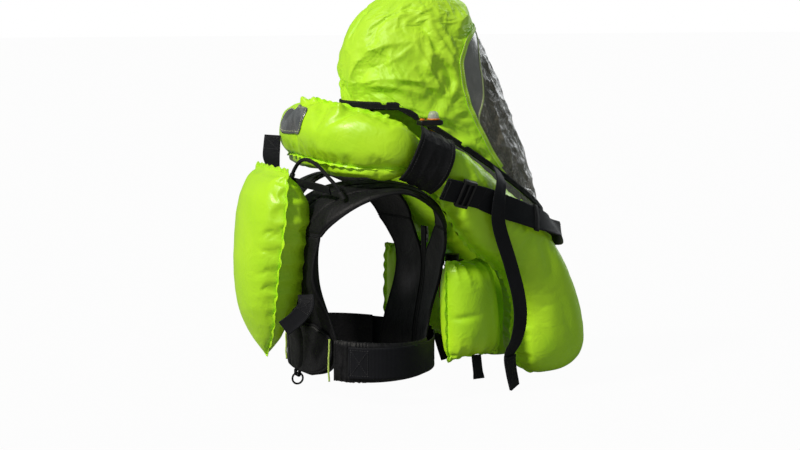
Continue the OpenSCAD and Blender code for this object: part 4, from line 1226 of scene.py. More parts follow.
@dataclass
class Hood:
    """The hood, its clear visor, the tape round the visor and the binding round the hem.

    A place on it is an angle from the nape, positive to the wearer's left, and a height.
    """
    top: float = 264
    half_w: float = 107
    rear: float = 104
    axis_y: float = -20
    brow: float = 206
    front_hem: float = -118
    corner: float = 131
    fabric_off: float = 1.2
    film_off: float = 0.7
    edge: Array = field(init=False)

    def __post_init__(self) -> None:
        """Works out the visor's edge, from the hem up to the brow."""
        self.edge = np.array([[self.corner, float(self.hem(np.array(self.corner)))], [124, -52], [113, -12],
                              [105, 50], [103, 92], [108, 150], [132, 190], [180, self.brow]])

    @staticmethod
    def dome(z: Array, low: float, high: float, power: float) -> Array:
        """A quarter of a superellipse, 1 below low and 0 at high."""
        return np.maximum(0, 1 - clamp01((z - low) / (high - low)) ** power) ** (1 / power)

    def point(self, a: Array, z: Array, off: Array) -> Array:
        """A point of the hood: each level section is an oval between the rear and front profiles."""
        t = (z - self.front_hem) / (self.brow - self.front_hem)
        visor = mix(-244, -110, t) - 9 * np.sin(np.pi * clamp01(t))
        front = np.where(z < self.brow, visor, mix(self.axis_y, -110, self.dome(z, self.brow, self.top, 2)))
        rear = mix(self.axis_y, self.rear, self.dome(z, 130, self.top, 2))
        side = np.where(z > 100, self.half_w * self.dome(z, 100, self.top, 2.4),
                        self.half_w + 11 * np.sin(np.pi / 2 * clamp01((100 - z) / 150)))
        lift = off * clamp01((z - 100) / (self.top - 100)) ** 2
        turn = np.radians(a)
        middle, half = (rear + front) / 2, (rear - front) / 2
        return columns(np.sin(turn) * (side + off), middle + np.cos(turn) * (half + off),
                                            z + lift)

    def out(self, a: Array, z: Array) -> Array:
        """The outward direction there."""
        return unit(self.point(a, z, 20) - self.point(a, z, 0))

    def hem(self, a: Array) -> Array:
        """The hem's height: level at the nape, and sloping down to the chest in front of y = 48."""
        z = np.zeros_like(np.asarray(a, float))
        for _ in range(8):
            z = 71 - 0.654 * np.maximum(0, 48 - self.point(a, z, 0.0)[..., 1])
        return z

    def fabric_at(self, f: Array, w: Array) -> tuple[Array, Array]:
        """A place on the fabric: f from the nape to the visor and w from the hem to the crown.

        It is a Coons patch: the blends of the opposite edges, less the blend of the corners.
        """
        low = self.hem(self.corner * f)
        split = 14 / 18
        crown = columns(180, mix(self.brow, self.top, (w - split) / (1 - split)))
        edge = np.where((w <= split)[..., None], spline(self.edge, 7 * w / split), crown)
        hem0, hem1 = float(self.hem(np.array(0.0))), self.edge[0, 1]
        a = ((1 - w) * self.corner * f + w * 180 * f + f * edge[..., 0]
             - f * (1 - w) * self.corner - f * w * 180)
        z = ((1 - w) * low + w * self.top + (1 - f) * mix(hem0, self.top, w) + f * edge[..., 1]
             - (1 - f) * (1 - w) * hem0 - f * (1 - w) * hem1 - w * self.top)
        return a, np.minimum(self.top, z)

    def visor_at(self, g: Array, w: Array) -> tuple[Array, Array]:
        """A place on the visor: g from its edge to its middle, w from the hem to the brow."""
        edge = spline(self.edge, 7 * w)
        low = float(self.hem(np.array(180.0)))
        bottom = mix(self.corner, 180, g)
        a = ((1 - w) * bottom + w * 180 + (1 - g) * edge[..., 0] + g * 180
             - (1 - g) * (1 - w) * self.corner - g * (1 - w) * 180 - (1 - g) * w * 180 - g * w * 180)
        z = ((1 - w) * self.hem(bottom) + w * self.brow + (1 - g) * edge[..., 1] + g * mix(low, self.brow, w)
             - (1 - g) * (1 - w) * self.edge[0, 1] - g * (1 - w) * low - w * self.brow)
        return a, z

    def folds(self, a: Array, z: Array) -> Array:
        """Folds in the fabric: the ridges of HOOD_FOLDS, and a light crumple of noise."""
        left = a > 0
        along = np.abs(a) * HOOD_ARC + 7 * left
        up = z + 8 * left
        total = np.zeros_like(z)
        for fold in HOOD_FOLDS:
            total += fold.height(along, up)
        where = columns(along, up, 40.0 * left)
        total += 2.2 * (creases(where, 46, 21, 2.4) - 0.5)
        return total + 1.7 * (creases(where, 17, 33, 2.4) - 0.5) * smooth((along - 60) / 90)

    def fabric(self, looks: Finishes) -> Piece:
        """The hood's fabric: one sheet from the visor's right edge round the nape to its left edge."""
        w = steps_down(0, 1, 120)
        f = steps_over(-1, 1, 175)
        f, w = np.broadcast_arrays(f, w)
        a, z = self.fabric_at(np.abs(f), w)
        a = a * np.sign(f)
        free = smooth((1 - np.abs(f)) / 0.1) * smooth(w / 0.1) * smooth((1 - w) / 0.22)
        fold = self.folds(a, z)
        piece = sheet_grid("hood_fabric", self.point(a, z, self.fabric_off + 0.4 + fold * free - 1.2 * free))
        held = 1 - free.ravel() ** 0.5
        Inflation(0.9, 16, 4.5, 16, 0.12, (-0.035, 0.0)).run(piece, None, clamp01(held))
        weld(piece)
        if normals_of(piece)[:, 2][np.argmax(points_of(piece)[:, 2])] < 0:
            piece.data.flip_normals()
        thicken(subdivide(piece), 0.7, 0.0)
        return fit(piece, looks.hood, ["hood_panel_right", "hood_panel_left"], "hood")

    def strip(self, w: Array) -> Array:
        """How far the smooth side window reaches from the visor's edge, as a share of the half visor."""
        return 0.27 * smooth((w - 0.36) / 0.34)

    def crinkle(self, a: Array, z: Array) -> Array:
        """The film's crinkles: sharp ridges that run down the film, with fine ones between them."""
        where = columns(a * 1.9, z * 0.8, 0 * z + 5)
        return 5.4 * (creases(where, 27, 51, 2.8) - 0.42) + 2.6 * (creases(where, 10, 63, 2.6) - 0.5)

    def visor(self, looks: Finishes) -> None:
        """The crinkled film, the smooth window at each side, and the stitched line between them."""
        w = steps_down(0, 1, 130)
        q = steps_over(-1, 1, 141)
        q, w = np.broadcast_arrays(q, w)
        start = self.strip(w)
        a, z = self.visor_at(mix(start, 1, 1 - np.abs(q)), w)
        a = np.where(q < 0, 360 - a, a)
        free = smooth((1 - np.abs(q)) / 0.07) * smooth(w / 0.04) * smooth((1 - w) / 0.05)
        film = weld(sheet_grid("visor_film", self.point(a, z, self.film_off + self.crinkle(a, z) * free)))
        thicken(subdivide(film), 0.3, 0.0)
        fit(film, looks.film, ["visor"], "hood")
        self.declare(film)
        lines = []
        for side in Side:
            w1 = steps_down(0.36, 1, 80)
            u = steps_over(0, 1, 16)
            u, w1 = np.broadcast_arrays(u, w1)
            a, z = self.visor_at(self.strip(w1) * u, w1)
            soft = 0.9 * lattice_noise(columns(a / 14, z / 42, 0 * z), 4) * np.sin(np.pi * u)
            pane = self.point(a * side.value, z, self.film_off + soft)
            window = weld(sheet_grid(f"visor_window_{side.word}", pane))
            thicken(window, 0.3, 0.0)
            fit(window, looks.window, body="hood")
            self.declare(window)
            w2 = np.linspace(0.37, 0.985, 60)
            a, z = self.visor_at(self.strip(w2), w2)
            path = self.point(a * side.value, z, 1.2)
            outs = self.out(a * side.value, z)
            tape = strap(f"visor_line_{side.word}", path, outs, 3.2, 0.8, 3)
            fit(tape, looks.thread, body="hood")
            lines.append((self.point(a * side.value, z, 1.8), outs))
        fit(stitches("visor_line_stitches", lines, 3.4, 2.3, 0.35), looks.trim, body="hood")

    def seams(self, looks: Finishes) -> None:
        """The lime tape on the visor's edge, its two rows of stitches, and the crown's seam."""
        half = spline(self.edge, 7 * np.linspace(0.25, 1, 90)[:-1])
        edge = np.concatenate([half * [-1, 1], [[180, self.brow]], half[::-1]])
        a, z = edge[:, 0], edge[:, 1]
        outs = self.out(a, z)
        wave = 0.5 * np.sin(np.arange(len(a)) * 0.55)
        tape = strap("visor_seam_tape", self.point(a, z, 2.9 + wave), outs, 9, 1.3, 2.5)
        fit(tape, looks.hood_tape, ["visor_seam"], "hood")
        path = self.point(a, z, 3.5 + wave)
        _, across, _ = frames_along(path, outs)
        rows = [(path + across * d, outs) for d in (-2.8, 2.8)]
        fit(stitches("visor_seam_stitches", rows), looks.thread, body="hood")
        z = np.linspace(self.brow + 6, self.top, 24)[:-1]
        front = self.point(np.full_like(z, 180), z, 2.6)
        centre = np.array([0, self.axis_y, 100])
        rib = even(front, 4)
        seam = strap("hood_crown_seam", rib, unit(rib - centre), 7, 0.9, 4)
        fit(seam, looks.hood, body="hood")
        lift = unit(rib - centre)
        rows = [(rib + lift * 0.4 + np.array([d, 0, 0]), lift) for d in (-2.2, 2.2)]
        fit(stitches("hood_crown_stitches", rows), looks.thread, body="hood")

    def binding(self, looks: Finishes) -> None:
        """The black elastic round the hem, gathered a little, with two rows of stitches."""
        a = np.linspace(-180, 180, 260, endpoint=False)
        low = self.hem(a)
        ring = ((0.0, 0.8), (0.3, 3.2), (2.2, 3.8), (6.5, 3.3), (10.8, 3.8), (12.7, 3.2), (13.0, 0.8),
                (6.5, 0.5))
        ruffle = 0.45 * np.sin(np.arange(260) * 1.45) + 0.25 * np.sin(np.arange(260) * 0.61)
        rings = np.stack([self.point(a, low + up, self.fabric_off + off + ruffle * (off > 1))
                          for up, off in ring], 1)
        fit(ring_band("hood_hem_elastic", rings), looks.binding, ["hood_hem"], "hood")
        b = np.linspace(-178, 178, 240)
        outs = self.out(b, self.hem(b))
        rows = [(self.point(b, self.hem(b) + up, self.fabric_off + 3.9), outs) for up in (2.4, 10.6)]
        fit(stitches("hood_hem_stitches", rows), looks.dark_thread, body="hood")

    def build(self, looks: Finishes) -> None:
        """Makes the whole hood."""
        fabric = self.fabric(looks)
        self.visor(looks)
        self.seams(looks)
        self.binding(looks)
        self.declare(fabric)

    def declare(self, piece: Piece) -> None:
        """Works out a sheet's area, which nothing uses."""
        area = sheet_area(piece)


def sheet_area(piece: Piece) -> float:
    """The area of one face of a sheet, in square metres, before its wall is added."""
    area = np.empty(len(piece.data.polygons))
    piece.data.polygons.foreach_get("area", area)
    return float(area.sum())


# ---- Vest ----
@dataclass
class Vest:
    """The harness's padded mesh panels on the wearer's torso, an upright oval with an arched top."""
    torso_y: float = 84
    half_d: float = 115
    arch: float = -120
    bottom: float = -352
    thick: float = 6
    belt_z: float = -320
    back: tuple = ((0, -44, 44), (0.05, -84, 84), (0.14, -97, 97), (0.27, -101, 101), (0.45, -97, 97),
                   (0.64, -98, 98), (0.85, -102, 102), (0.99, -108, 108))
    lumbar: tuple = ((0.012, -40, 40), (0.05, -78, 78), (0.12, -92, 92), (0.28, -96, 96), (0.36, -70, 70))
    yoke: tuple = ((1.0, -112, -1), (1.14, -139, -3), (1.3, -160, -30), (1.42, -172, -62), (1.52, -176, -76),
                   (1.66, -172, -80), (1.8, -160, -66), (2.0, -138, -52))
    front: tuple = ((2.01, -138, -50), (2.12, -116, -30), (2.25, -94, -9), (2.5, -84, -9), (2.75, -88, -9),
                    (3.0, -96, -9))

    def waist(self, z: Array) -> Array:
        """The waist is slimmer than the chest."""
        return mix(1, 0.86, smooth((-190 - z) / 130))

    def width(self, z: Array) -> Array:
        """Half of the torso's width."""
        return mix(168, 192, smooth((z + 260) / 120)) * self.waist(z)

    def depth(self, x: Array, z: Array) -> Array:
        """Half of the torso's depth at x: a superellipse that is squarer at the chest."""
        power = mix(2, 3, smooth((z + 260) / 120))
        return self.half_d * self.waist(z) * np.sqrt(
            np.maximum(0.02, 1 - np.minimum(1, np.abs(x) / self.width(z)) ** power))

    def point(self, x: Array, s: Array, off: Array) -> Array:
        """A point off the torso: s is 0-1 up the back, 1-2 over the shoulder, 2-3 down the front."""
        x, s, off = np.broadcast_arrays(x, s, np.asarray(off, float))
        z_back, z_front = mix(self.bottom, self.arch, s), mix(self.arch, self.bottom, s - 2)
        turn = np.pi * (s - 1)
        over = self.depth(x, np.full_like(s, self.arch)) + off
        y = np.where(s <= 1, self.torso_y + self.depth(x, z_back) + off,
                     np.where(s >= 2, self.torso_y - self.depth(x, z_front) - off,
                              self.torso_y + over * np.cos(turn)))
        top = self.arch + (-36 - 0.1 * np.abs(x) + off - self.arch) * np.sin(turn)
        return columns(x, y, np.where(s <= 1, z_back, np.where(s >= 2, z_front, top)))

    def waist_point(self, a: Array, z: Array, off: Array) -> Array:
        """A point off the waist's oval at an angle from the spine and a height."""
        a, level = np.radians(a), np.array(-330.0)
        wide, deep = self.width(level) + off, self.half_d * self.waist(level) + off
        return columns(np.sin(a) * wide, self.torso_y + np.cos(a) * deep, z)

    def panel(self, name: str, edges: tuple, off: float, thick: float, looks: Finishes, nodes: Sequence[str],
              side: int = 1, puff: float = 0, channels: int = 0, rows: int = 90, cols: int = 46) -> None:
        """A padded panel with a crowned face, sewn channels, and a binding round its edge.

        Args:
            name: the piece's name.
            edges: rows of s and of the x of both edges.
            off: the distance of its inner face from the torso.
            thick: its thickness in the middle.
            looks: the finishes.
            nodes: the CAD nodes that it stands for.
            side: -1 to mirror it to the wearer's left.
            puff: how far the back panel's edges roll out at the height of the armholes.
            channels: how many sewn channels run along it.
            rows: points along it.
            cols: points across it.
        """
        r = np.linspace(0, len(edges) - 1, rows)
        s, x0, x1 = (spline([e[k] for e in edges], r)[:, None] for k in range(3))
        v = steps_over(0, 1, cols)
        x = mix(x0, x1, v)
        edge = np.abs(2 * v - 1)
        near = np.minimum(clamp01((1 - edge) * np.abs(x1 - x0) / 2 / 7),
                          clamp01(np.minimum(r, r[::-1])[:, None] / 0.14))
        crown = 1 - (1 - near) ** 2.2
        roll = puff * np.sin(np.pi * clamp01(s / 0.6 - 2 / 3)) ** 2 * edge ** 4
        rib = sum((hump(v - (k + 1) / (channels + 1), 0.018) for k in range(channels)), 0 * v)
        where = self.point(x, s, off)
        soft = 1.3 * lattice_noise(where / 26, 8) + 0.9 * (creases(where, 30, 14) - 0.5)
        height = np.maximum(1.0, (thick + 0.8 + soft - 2.6 * rib) * crown) + roll
        flip = np.array([side, 1, 1])
        piece = shell(name, self.point(x, s, off + height) * flip, self.point(x, s, off + 0.2) * flip)
        fit(piece, looks.mesh, nodes)
        path = np.concatenate([columns(x[:, 0], s[:, 0]), columns(x[-1], s[-1, 0])[1:],
                               columns(x[:, -1], s[:, 0])[::-1][1:], columns(x[0], s[0, 0])[::-1][1:-1]])
        lift = puff * np.sin(np.pi * clamp01(path[:, 1] / 0.6 - 2 / 3)) ** 2 * (edge[0, 0] ** 4)
        rim = self.point(path[:, 0], path[:, 1], off + thick * 0.45 + lift) * flip
        rim = even(np.concatenate([rim, rim[:1]]), 3.5)[:-1]
        fit(rope_loop(f"{name}_binding", rim, 2.2, 10), looks.binding)

    def build(self, looks: Finishes) -> None:
        """Makes every panel, the belt pads, the zip's tapes and teeth, and the piping."""
        self.panel("back_panel_mesh", self.back, 1, self.thick - 2, looks, ["back_panel"], puff=9, channels=3)
        self.panel("lumbar_pad_mesh", self.lumbar, self.thick, 6, looks, [], channels=2, rows=60)
        for side in Side:
            mirror = 1 if side is Side.RIGHT else -1
            self.panel(f"shoulder_yoke_{side.word}_mesh", self.yoke, 1, self.thick - 2, looks,
                       [f"shoulder_yoke_{side.word}"], mirror, channels=2)
            self.panel(f"front_panel_{side.word}_mesh", self.front, 1, self.thick - 2, looks,
                       [f"front_panel_{side.word}"], mirror, channels=1)
            self.belt_pad(side, looks)
        self.loop_tab(looks)
        self.zip(looks)
        self.piping(looks)

    def belt_pad(self, side: Side, looks: Finishes) -> None:
        """The belt's padded sleeve: gathered in folds next to the lumbar pad, smooth further round."""
        u = steps_over(0, 1, 150)
        v = steps_down(0, 1, 44)
        turn = mix(41, 132, u)
        high = mix(66, 56, smooth(u))
        near = np.minimum(clamp01((1 - np.abs(2 * v - 1)) * high / 2 / 9),
                          clamp01(np.minimum(u, 1 - u) / 0.03))
        crown = 1 - (1 - near) ** 2.4
        gather = smooth((0.34 - u) / 0.1) * smooth(u / 0.02)
        fold = (1 - np.abs(lattice_noise(columns(u * 62, v * 1.3, 0.0), 9))) ** 2 - 0.4
        height = 9 + np.maximum(0.6, (4.6 + 3.4 * gather * fold) * crown)
        z = self.belt_z + (v - 0.5) * (high + 3 * gather * fold)
        flip = side.flip
        piece = shell(f"belt_pad_{side.word}_sleeve", self.waist_point(-turn, z, height) * flip,
                      self.waist_point(-turn, z, 8.9) * flip)
        fit(piece, looks.mesh, [f"belt_pad_{side.word}"])

    def loop_tab(self, looks: Finishes) -> None:
        """The webbing tab under the lumbar pad, folded round the cord loop and bar-tacked."""
        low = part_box("lumbar_pad")[0]
        y, top = 190.0, low[2] / MM + 12
        turn = circle(40)
        z0 = low[2] / MM + 4.4
        rise = z0 + 3.2 * np.sin(turn) + np.where(np.sin(turn) > 0, 4, 0)
        path = columns(0.0, y + 2.6 * np.cos(turn), rise)
        outs = columns(0 * turn, np.cos(turn), np.sin(turn))
        rings = path[:, None] + np.array([[-6, 0, 0], [-6.2, 0, 0], [6.2, 0, 0], [6, 0, 0]])[None] \
            + outs[:, None] * np.array([0.0, 1.4, 1.4, 0.0])[None, :, None]
        fit(ring_band("lumbar_tab", rings), looks.webbing, ["lumbar_pad"])
        rows = [(np.array([[-4.5, y + 4.1, top - k], [4.5, y + 4.1, top - k]]), np.array([[0, 1.0, 0]] * 2))
                for k in (1.5, 3.0)]
        sew("lumbar_tab", rows, 2.6, 2.0, 0.4, looks)

    def zip(self, looks: Finishes) -> None:
        """Two woven tapes with a row of moulded teeth on each, set alternately."""
        s = steps_down(2.03, 2.99, 90)
        for side in Side:
            x = steps_over(0.5, 9.5, 8) * side.value
            grid = self.point(x, s, 3.4)
            tape = shell(f"zip_tape_{side.word}", grid, self.point(x, s, 1.9))
            fit(tape, looks.binding, ["front_zip"] if side is Side.RIGHT else [])
        teeth = np.linspace(2.035, 2.985, 92)
        spots = self.point(np.where(np.arange(92) % 2, 1.1, -1.1), teeth, 4.2)
        section = np.array([(-2.1, -1.1), (-1.2, -1.35), (1.2, -1.35), (2.1, -1.1), (2.1, 0.9), (-2.1, 0.9)])
        local = np.stack([columns(section[:, 0], np.full(6, y), section[:, 1] * k)
                          for y, k in ((0.9, 1.0), (-0.9, 1.0), (-1.2, 0.7))])
        shape = quads(3, 6, wrap=True).tolist() + [[5, 4, 3, 2, 1, 0], [12, 13, 14, 15, 16, 17]]
        verts = spots[:, None, None] + local[None]
        faces = [[18 * k + q for q in face] for k in range(len(spots)) for face in shape]
        fit(face_out(make_object("zip_teeth", verts, faces)), looks.plastic)

    def piping(self, looks: Finishes) -> None:
        """The thin lime cord on the seam between the lumbar pad and each belt pad."""
        k = np.linspace(0, 6, 40)
        z = mix(self.belt_z + 34, self.belt_z - 34, k / 6)
        for side in Side:
            path = self.waist_point(-mix(38.5, 39.5, np.abs(k - 4) / 4), z, 16.4 + 0.4 * np.sin(k * 3))
            cord = tube(f"piping_{side.word}", path * side.flip, 1.5, 12)
            fit(cord, looks.trim, ["piping"] if side is Side.RIGHT else [])


# ---- Straps, cords and tape ----
def shrink_onto(piece: Piece, target: Piece, gap: float, outside_only: bool = False) -> None:
    """Lays a piece's points on a target's surface, or only lifts out those that lie inside it."""
    mod = piece.modifiers.new("Lay", "SHRINKWRAP")
    mod.target = target
    mod.wrap_method = "NEAREST_SURFACEPOINT"
    mod.wrap_mode = "OUTSIDE" if outside_only else "ABOVE_SURFACE"
    mod.offset = gap * MM
    laid = shaped_points(piece)
    piece.modifiers.remove(mod)
    set_points(piece, laid)


def clear_of(path: Array, gap: float, *targets: str) -> Array:
    """A path, lifted out to gap off the named pieces where it lies in them, and evened a little."""
    line = make_object("path_probe", path, [])
    for name in targets:
        shrink_onto(line, bpy.data.objects[name], gap, outside_only=True)
    lifted = points_of(line)
    bpy.data.objects.remove(line, do_unlink=True)
    step = lifted - path
    for _ in range(3):
        step[1:-1] = 0.25 * step[:-2] + 0.5 * step[1:-1] + 0.25 * step[2:]
    return path + step


def box_x(path: Array, outs: Array, width: float, lift: float) -> list[tuple[Array, Array]]:
    """The lines of a sewn box with a cross in it, on the face of a strap along a short path."""
    _, across, out = frames_along(path, outs)
    k = steps_down(-1, 1, len(path))
    face = path + out * lift
    sides = [(face + across * (d * width / 2), out) for d in (-1, 1)]
    cross = [(face + across * (d * k * width / 2), out) for d in (-1, 1)]
    ends = [(face[i] + across[i] * (np.array([[-1], [1]]) * width / 2), np.stack([out[i]] * 2))
            for i in (0, -1)]
    return sides + cross + ends


@dataclass
class Straps:
    """Every strap, band and cord that holds the bladders, with its stitching."""
    chest: ChestBladders
    collar: CollarBladder
    vest: Vest
    web_w: float = 38
    belt_w: float = 50
    lobe_w: float = 25
    thick: float = 2.2
    spots: tuple = ((1.55, 10, 6), (1.8, 20, 5), (2.1, 32, 5), (2.4, 44, 5), (2.7, 58, 5), (2.95, 72, 6),
                    (3.12, 84, 8))
    buckle: Point = (0, -243, -144)

    def bladder_names(self, side: Side) -> list[str]:
        """The skins that a strap on this side lies on."""
        return [f"chest_bladder_{side.word}_skin", f"inner_bladder_{side.word}_skin"]

    def shoulder_band(self, side: Side, looks: Finishes) -> None:
        """The wide band round the bladder's waist on the shoulder, creased where it is pulled in."""
        along = unit(np.array([0.02, -0.9, -0.42]))
        u = unit(np.cross(along, np.array([0, 0, 1.0])))
        v = np.cross(u, along)
        a = np.radians(np.linspace(66, -66, 90))[:, None]
        k = steps_over(-1, 1, 44)
        ray = (u * 50 * spow(np.cos(a), 0.85)[..., None] + v * 47 * spow(np.sin(a), 0.85)[..., None])
        out = unit(ray)
        where = columns(a * 48, k * 30, 0 * a)
        fold = 2.8 * (creases(where * np.array([0.5, 1, 1]), 19, 77, 2.0) - 0.45) + 1.6 * np.abs(k) ** 6
        ends = 1 + 0.06 * np.cos(a * 2.4)
        mid = np.array(SHOULDER) + ray + along * (k * 30 * ends)[..., None]
        outer = mid + out * (1.6 + fold * (1 - np.abs(k) ** 12))[..., None]
        flip = side.flip
        piece = shell(f"shoulder_band_{side.word}_web", outer * flip, (mid - out * 1.2) * flip)
        fit(subdivide(piece), looks.mesh, [f"shoulder_band_{side.word}"])
        row = np.linspace(4, 85, 40).astype(int)
        lines = [((outer[row, c] + out[row, 0] * 0.4) * flip, out[row, 0] * flip) for c in (3, 40)]
        sew(f"shoulder_band_{side.word}", lines, 4.0, 2.7, 0.42, looks)
        for c, word in ((0, "rear"), (43, "front")):
            path = (mid[:, c] + out[:, 0] * 0.6) * flip
            fit(tube(f"shoulder_band_{side.word}_{word}_edge", path, 2.2, 10), looks.binding)

    def chest_strap(self, side: Side, looks: Finishes) -> None:
        """From the shoulder band, straight through its adjuster, round the lobe and to the buckle."""
        first, last = (self.chest.at(np.array(t), np.array(a), 10.0) for t, a in ((0.62, -20.0), (1.28, 2.0)))
        ahead = unit(last - first)
        out0 = self.chest.out(np.array(0.95), np.array(-8.0))
        end = 71 if side is Side.LEFT else 24
        spots = np.array(self.spots)
        middle = self.chest.at(spots[:, 0], spots[:, 1], spots[:, 2])
        path = np.concatenate([[first - 9 * ahead, first, first + 4 * ahead, last - 4 * ahead, last], middle,
                               [(-90, -243, -139), (-(end + 88) / 2, *self.buckle[1:]),
                                (-end, *self.buckle[1:])]])
        outs = np.concatenate([[out0] * 5, self.chest.out(spots[:, 0], spots[:, 1]),
                               [(-0.35, -1, 0.1), (0, -1, 0), (0, -1, 0)]])
        t = np.linspace(0, len(path) - 1, 90)
        line = spline(path, t)
        flip = side.flip
        line = clear_of(line * flip, 3.0, f"chest_bladder_{side.word}_skin")
        keep = smooth((t - 4.2) / 1.2)[:, None] * smooth((13.2 - t) / 1.5)[:, None]
        line = mix(spline(path, t) * flip, line, keep)
        outs = unit(spline(outs, t)) * flip
        piece = strap(f"chest_strap_{side.word}_web", line, outs, self.web_w, self.thick)
        fit(piece, looks.webbing, [f"chest_strap_{side.word}"])
        part = slice(1, 12)
        tack = box_x(line[part] - (line[1] - line[0]) * 2, outs[part], self.web_w - 9, self.thick * 0.55)
        last_part = slice(-13, -2)
        tack += box_x(line[last_part], outs[last_part], self.web_w - 9, self.thick * 0.55)
        sew(f"chest_strap_{side.word}", tack, 3.6, 2.6, 0.4, looks)
        self.slider_keeper(side, line, outs, looks)

    def slider_keeper(self, side: Side, line: Array, outs: Array, looks: Finishes) -> None:
        """An elastic keeper round the chest strap, past the lobe's strap."""
        k = 52
        along, across, out = (v[k] for v in frames_along(line, outs))
        turn = circle(44)
        half = self.web_w / 2 + 1.6
        ring = (line[k] + across * (half * spow(np.cos(turn), 0.35))[:, None]
                + out * (2.6 * spow(np.sin(turn), 0.6))[:, None])
        away = unit(ring - line[k] + across * 1e-3)
        section = np.array([(-5, 0.0), (-5, 1.3), (0, 1.6), (5, 1.3), (5, 0.0)])
        rings = ring[:, None] + along * section[None, :, 0:1] + away[:, None] * section[None, :, 1:2]
        fit(ring_band(f"chest_strap_{side.word}_keeper", rings), looks.binding)

    def lobe_strap(self, side: Side, looks: Finishes) -> None:
        """The strap over the chest strap and down both bladders, with a folded and sewn end."""
        c = self.chest
        first = [(1.36, 74, 5), (1.42, 44, 8), (1.52, 14, 14)]
        path = np.array([c.at(np.array(t), np.array(float(a)), float(o)) for t, a, o in first]
                        + [(-185, -82, -108), (-174, -108, -172), (-168, -126, -226), (-163, -132, -266),
                           (-153, -130, -301), (-141, -124, -326), (-134, -129, -352), (-130, -138, -383)])
        outs = np.array([c.out(np.array(t), np.array(float(a))) for t, a, _ in first]
                        + [(-1, -0.1, 0)] * 4
                        + [(-1, -0.2, -0.4), (-1, -0.3, -0.3), (-1, -0.5, 0), (-1, -0.6, 0)])
        t = np.linspace(0, 10, 110)
        flip = side.flip
        line = clear_of(spline(path, t) * flip, 2.4, *self.bladder_names(side))
        outs = unit(spline(outs, t)) * flip
        width = self.lobe_w * (1 - 0.1 * hump(t - 8.2, 0.7))
        piece = strap(f"lobe_strap_{side.word}_web", line, outs, width, self.thick, 2.5)
        fit(piece, looks.webbing, [f"lobe_strap_{side.word}"])
        fold = slice(-22, None)
        back = line[fold] + outs[fold] * 2.4 + outs[fold] * (0.8 * np.sin(np.linspace(0, np.pi, 22)))[:, None]
        end = strap(f"lobe_strap_{side.word}_fold", back, outs[fold], self.lobe_w, self.thick, 2.5)
        fit(end, looks.webbing)
        tack = box_x(back[3:18], outs[fold][3:18], self.lobe_w - 8, 1.4)
        k = np.linspace(0, 2, 24)
        tail = spline([(-112, -78, -328), (-117, -78, -347), (-121, -79, -366)], k) * flip
        tail_out = np.broadcast_to(np.array([-1, 0.3, 0]) * flip, tail.shape)
        leg = strap(f"lobe_strap_{side.word}_tail", tail, tail_out, 16 + 2.5 * hump(k - 1.9, 0.3), 3.2, 2)
        fit(leg, looks.webbing)
        sewn = slice(6, 20)
        tack += [(tail[sewn] + unit(tail_out[sewn]) * 1.9 + np.array([0, d, 0]), tail_out[sewn])
                 for d in (-4.5, 4.5)]
        sew(f"lobe_strap_{side.word}", tack, 3.2, 2.3, 0.38, looks)

    def belt(self, side: Side, looks: Finishes) -> None:
        """The waist webbing, from under the pad's sleeve to the buckle."""
        v = self.vest
        buckle_y = v.torso_y - v.half_d * float(v.waist(np.array(v.belt_z))) - v.thick - 12
        a = np.linspace(54, 158, 60)
        run = (80, 71) if side is Side.LEFT else (44, 24)
        path = np.concatenate([v.waist_point(-a, np.full(60, v.belt_z), 16.4),
                               [(-x, buckle_y, v.belt_z) for x in run]])
        turn = np.radians(a)
        outs = np.concatenate([columns(-np.sin(turn), np.cos(turn), 0.0), [(0, -1, 0)] * 2])
        wave = 0.9 * np.sin(np.linspace(0, 9, len(path)))[:, None]
        line, outs = (path + outs * wave) * side.flip, outs * side.flip
        piece = strap(f"belt_webbing_{side.word}_web", line, outs, self.belt_w, self.thick)
        fit(piece, looks.webbing, [f"belt_webbing_{side.word}"])
        k = slice(1, 9)
        tack = box_x(line[k], outs[k], self.belt_w - 10, 1.3)
        sew(f"belt_webbing_{side.word}", tack, 3.8, 2.7, 0.42, looks)

    def slack(self, node: str, width: float, looks: Finishes) -> None:
        """The spare webbing behind a plug: a straight strap with a slight wave, on its own mesh."""
        low, high = (Vector(c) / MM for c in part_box(node))
        x = np.linspace(low.x, high.x, 30)
        y, z = (low.y + high.y) / 2, (low.z + high.z) / 2
        path = columns(x, y + 0.5 * np.sin(np.linspace(0, 6.3, 30)), 0 * x + z)
        piece = strap(f"{node}_web", path, np.array([[0, -1, 0]] * 30), width, self.thick, 1.5)
        fit(piece, looks.webbing, [node])
        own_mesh(piece)

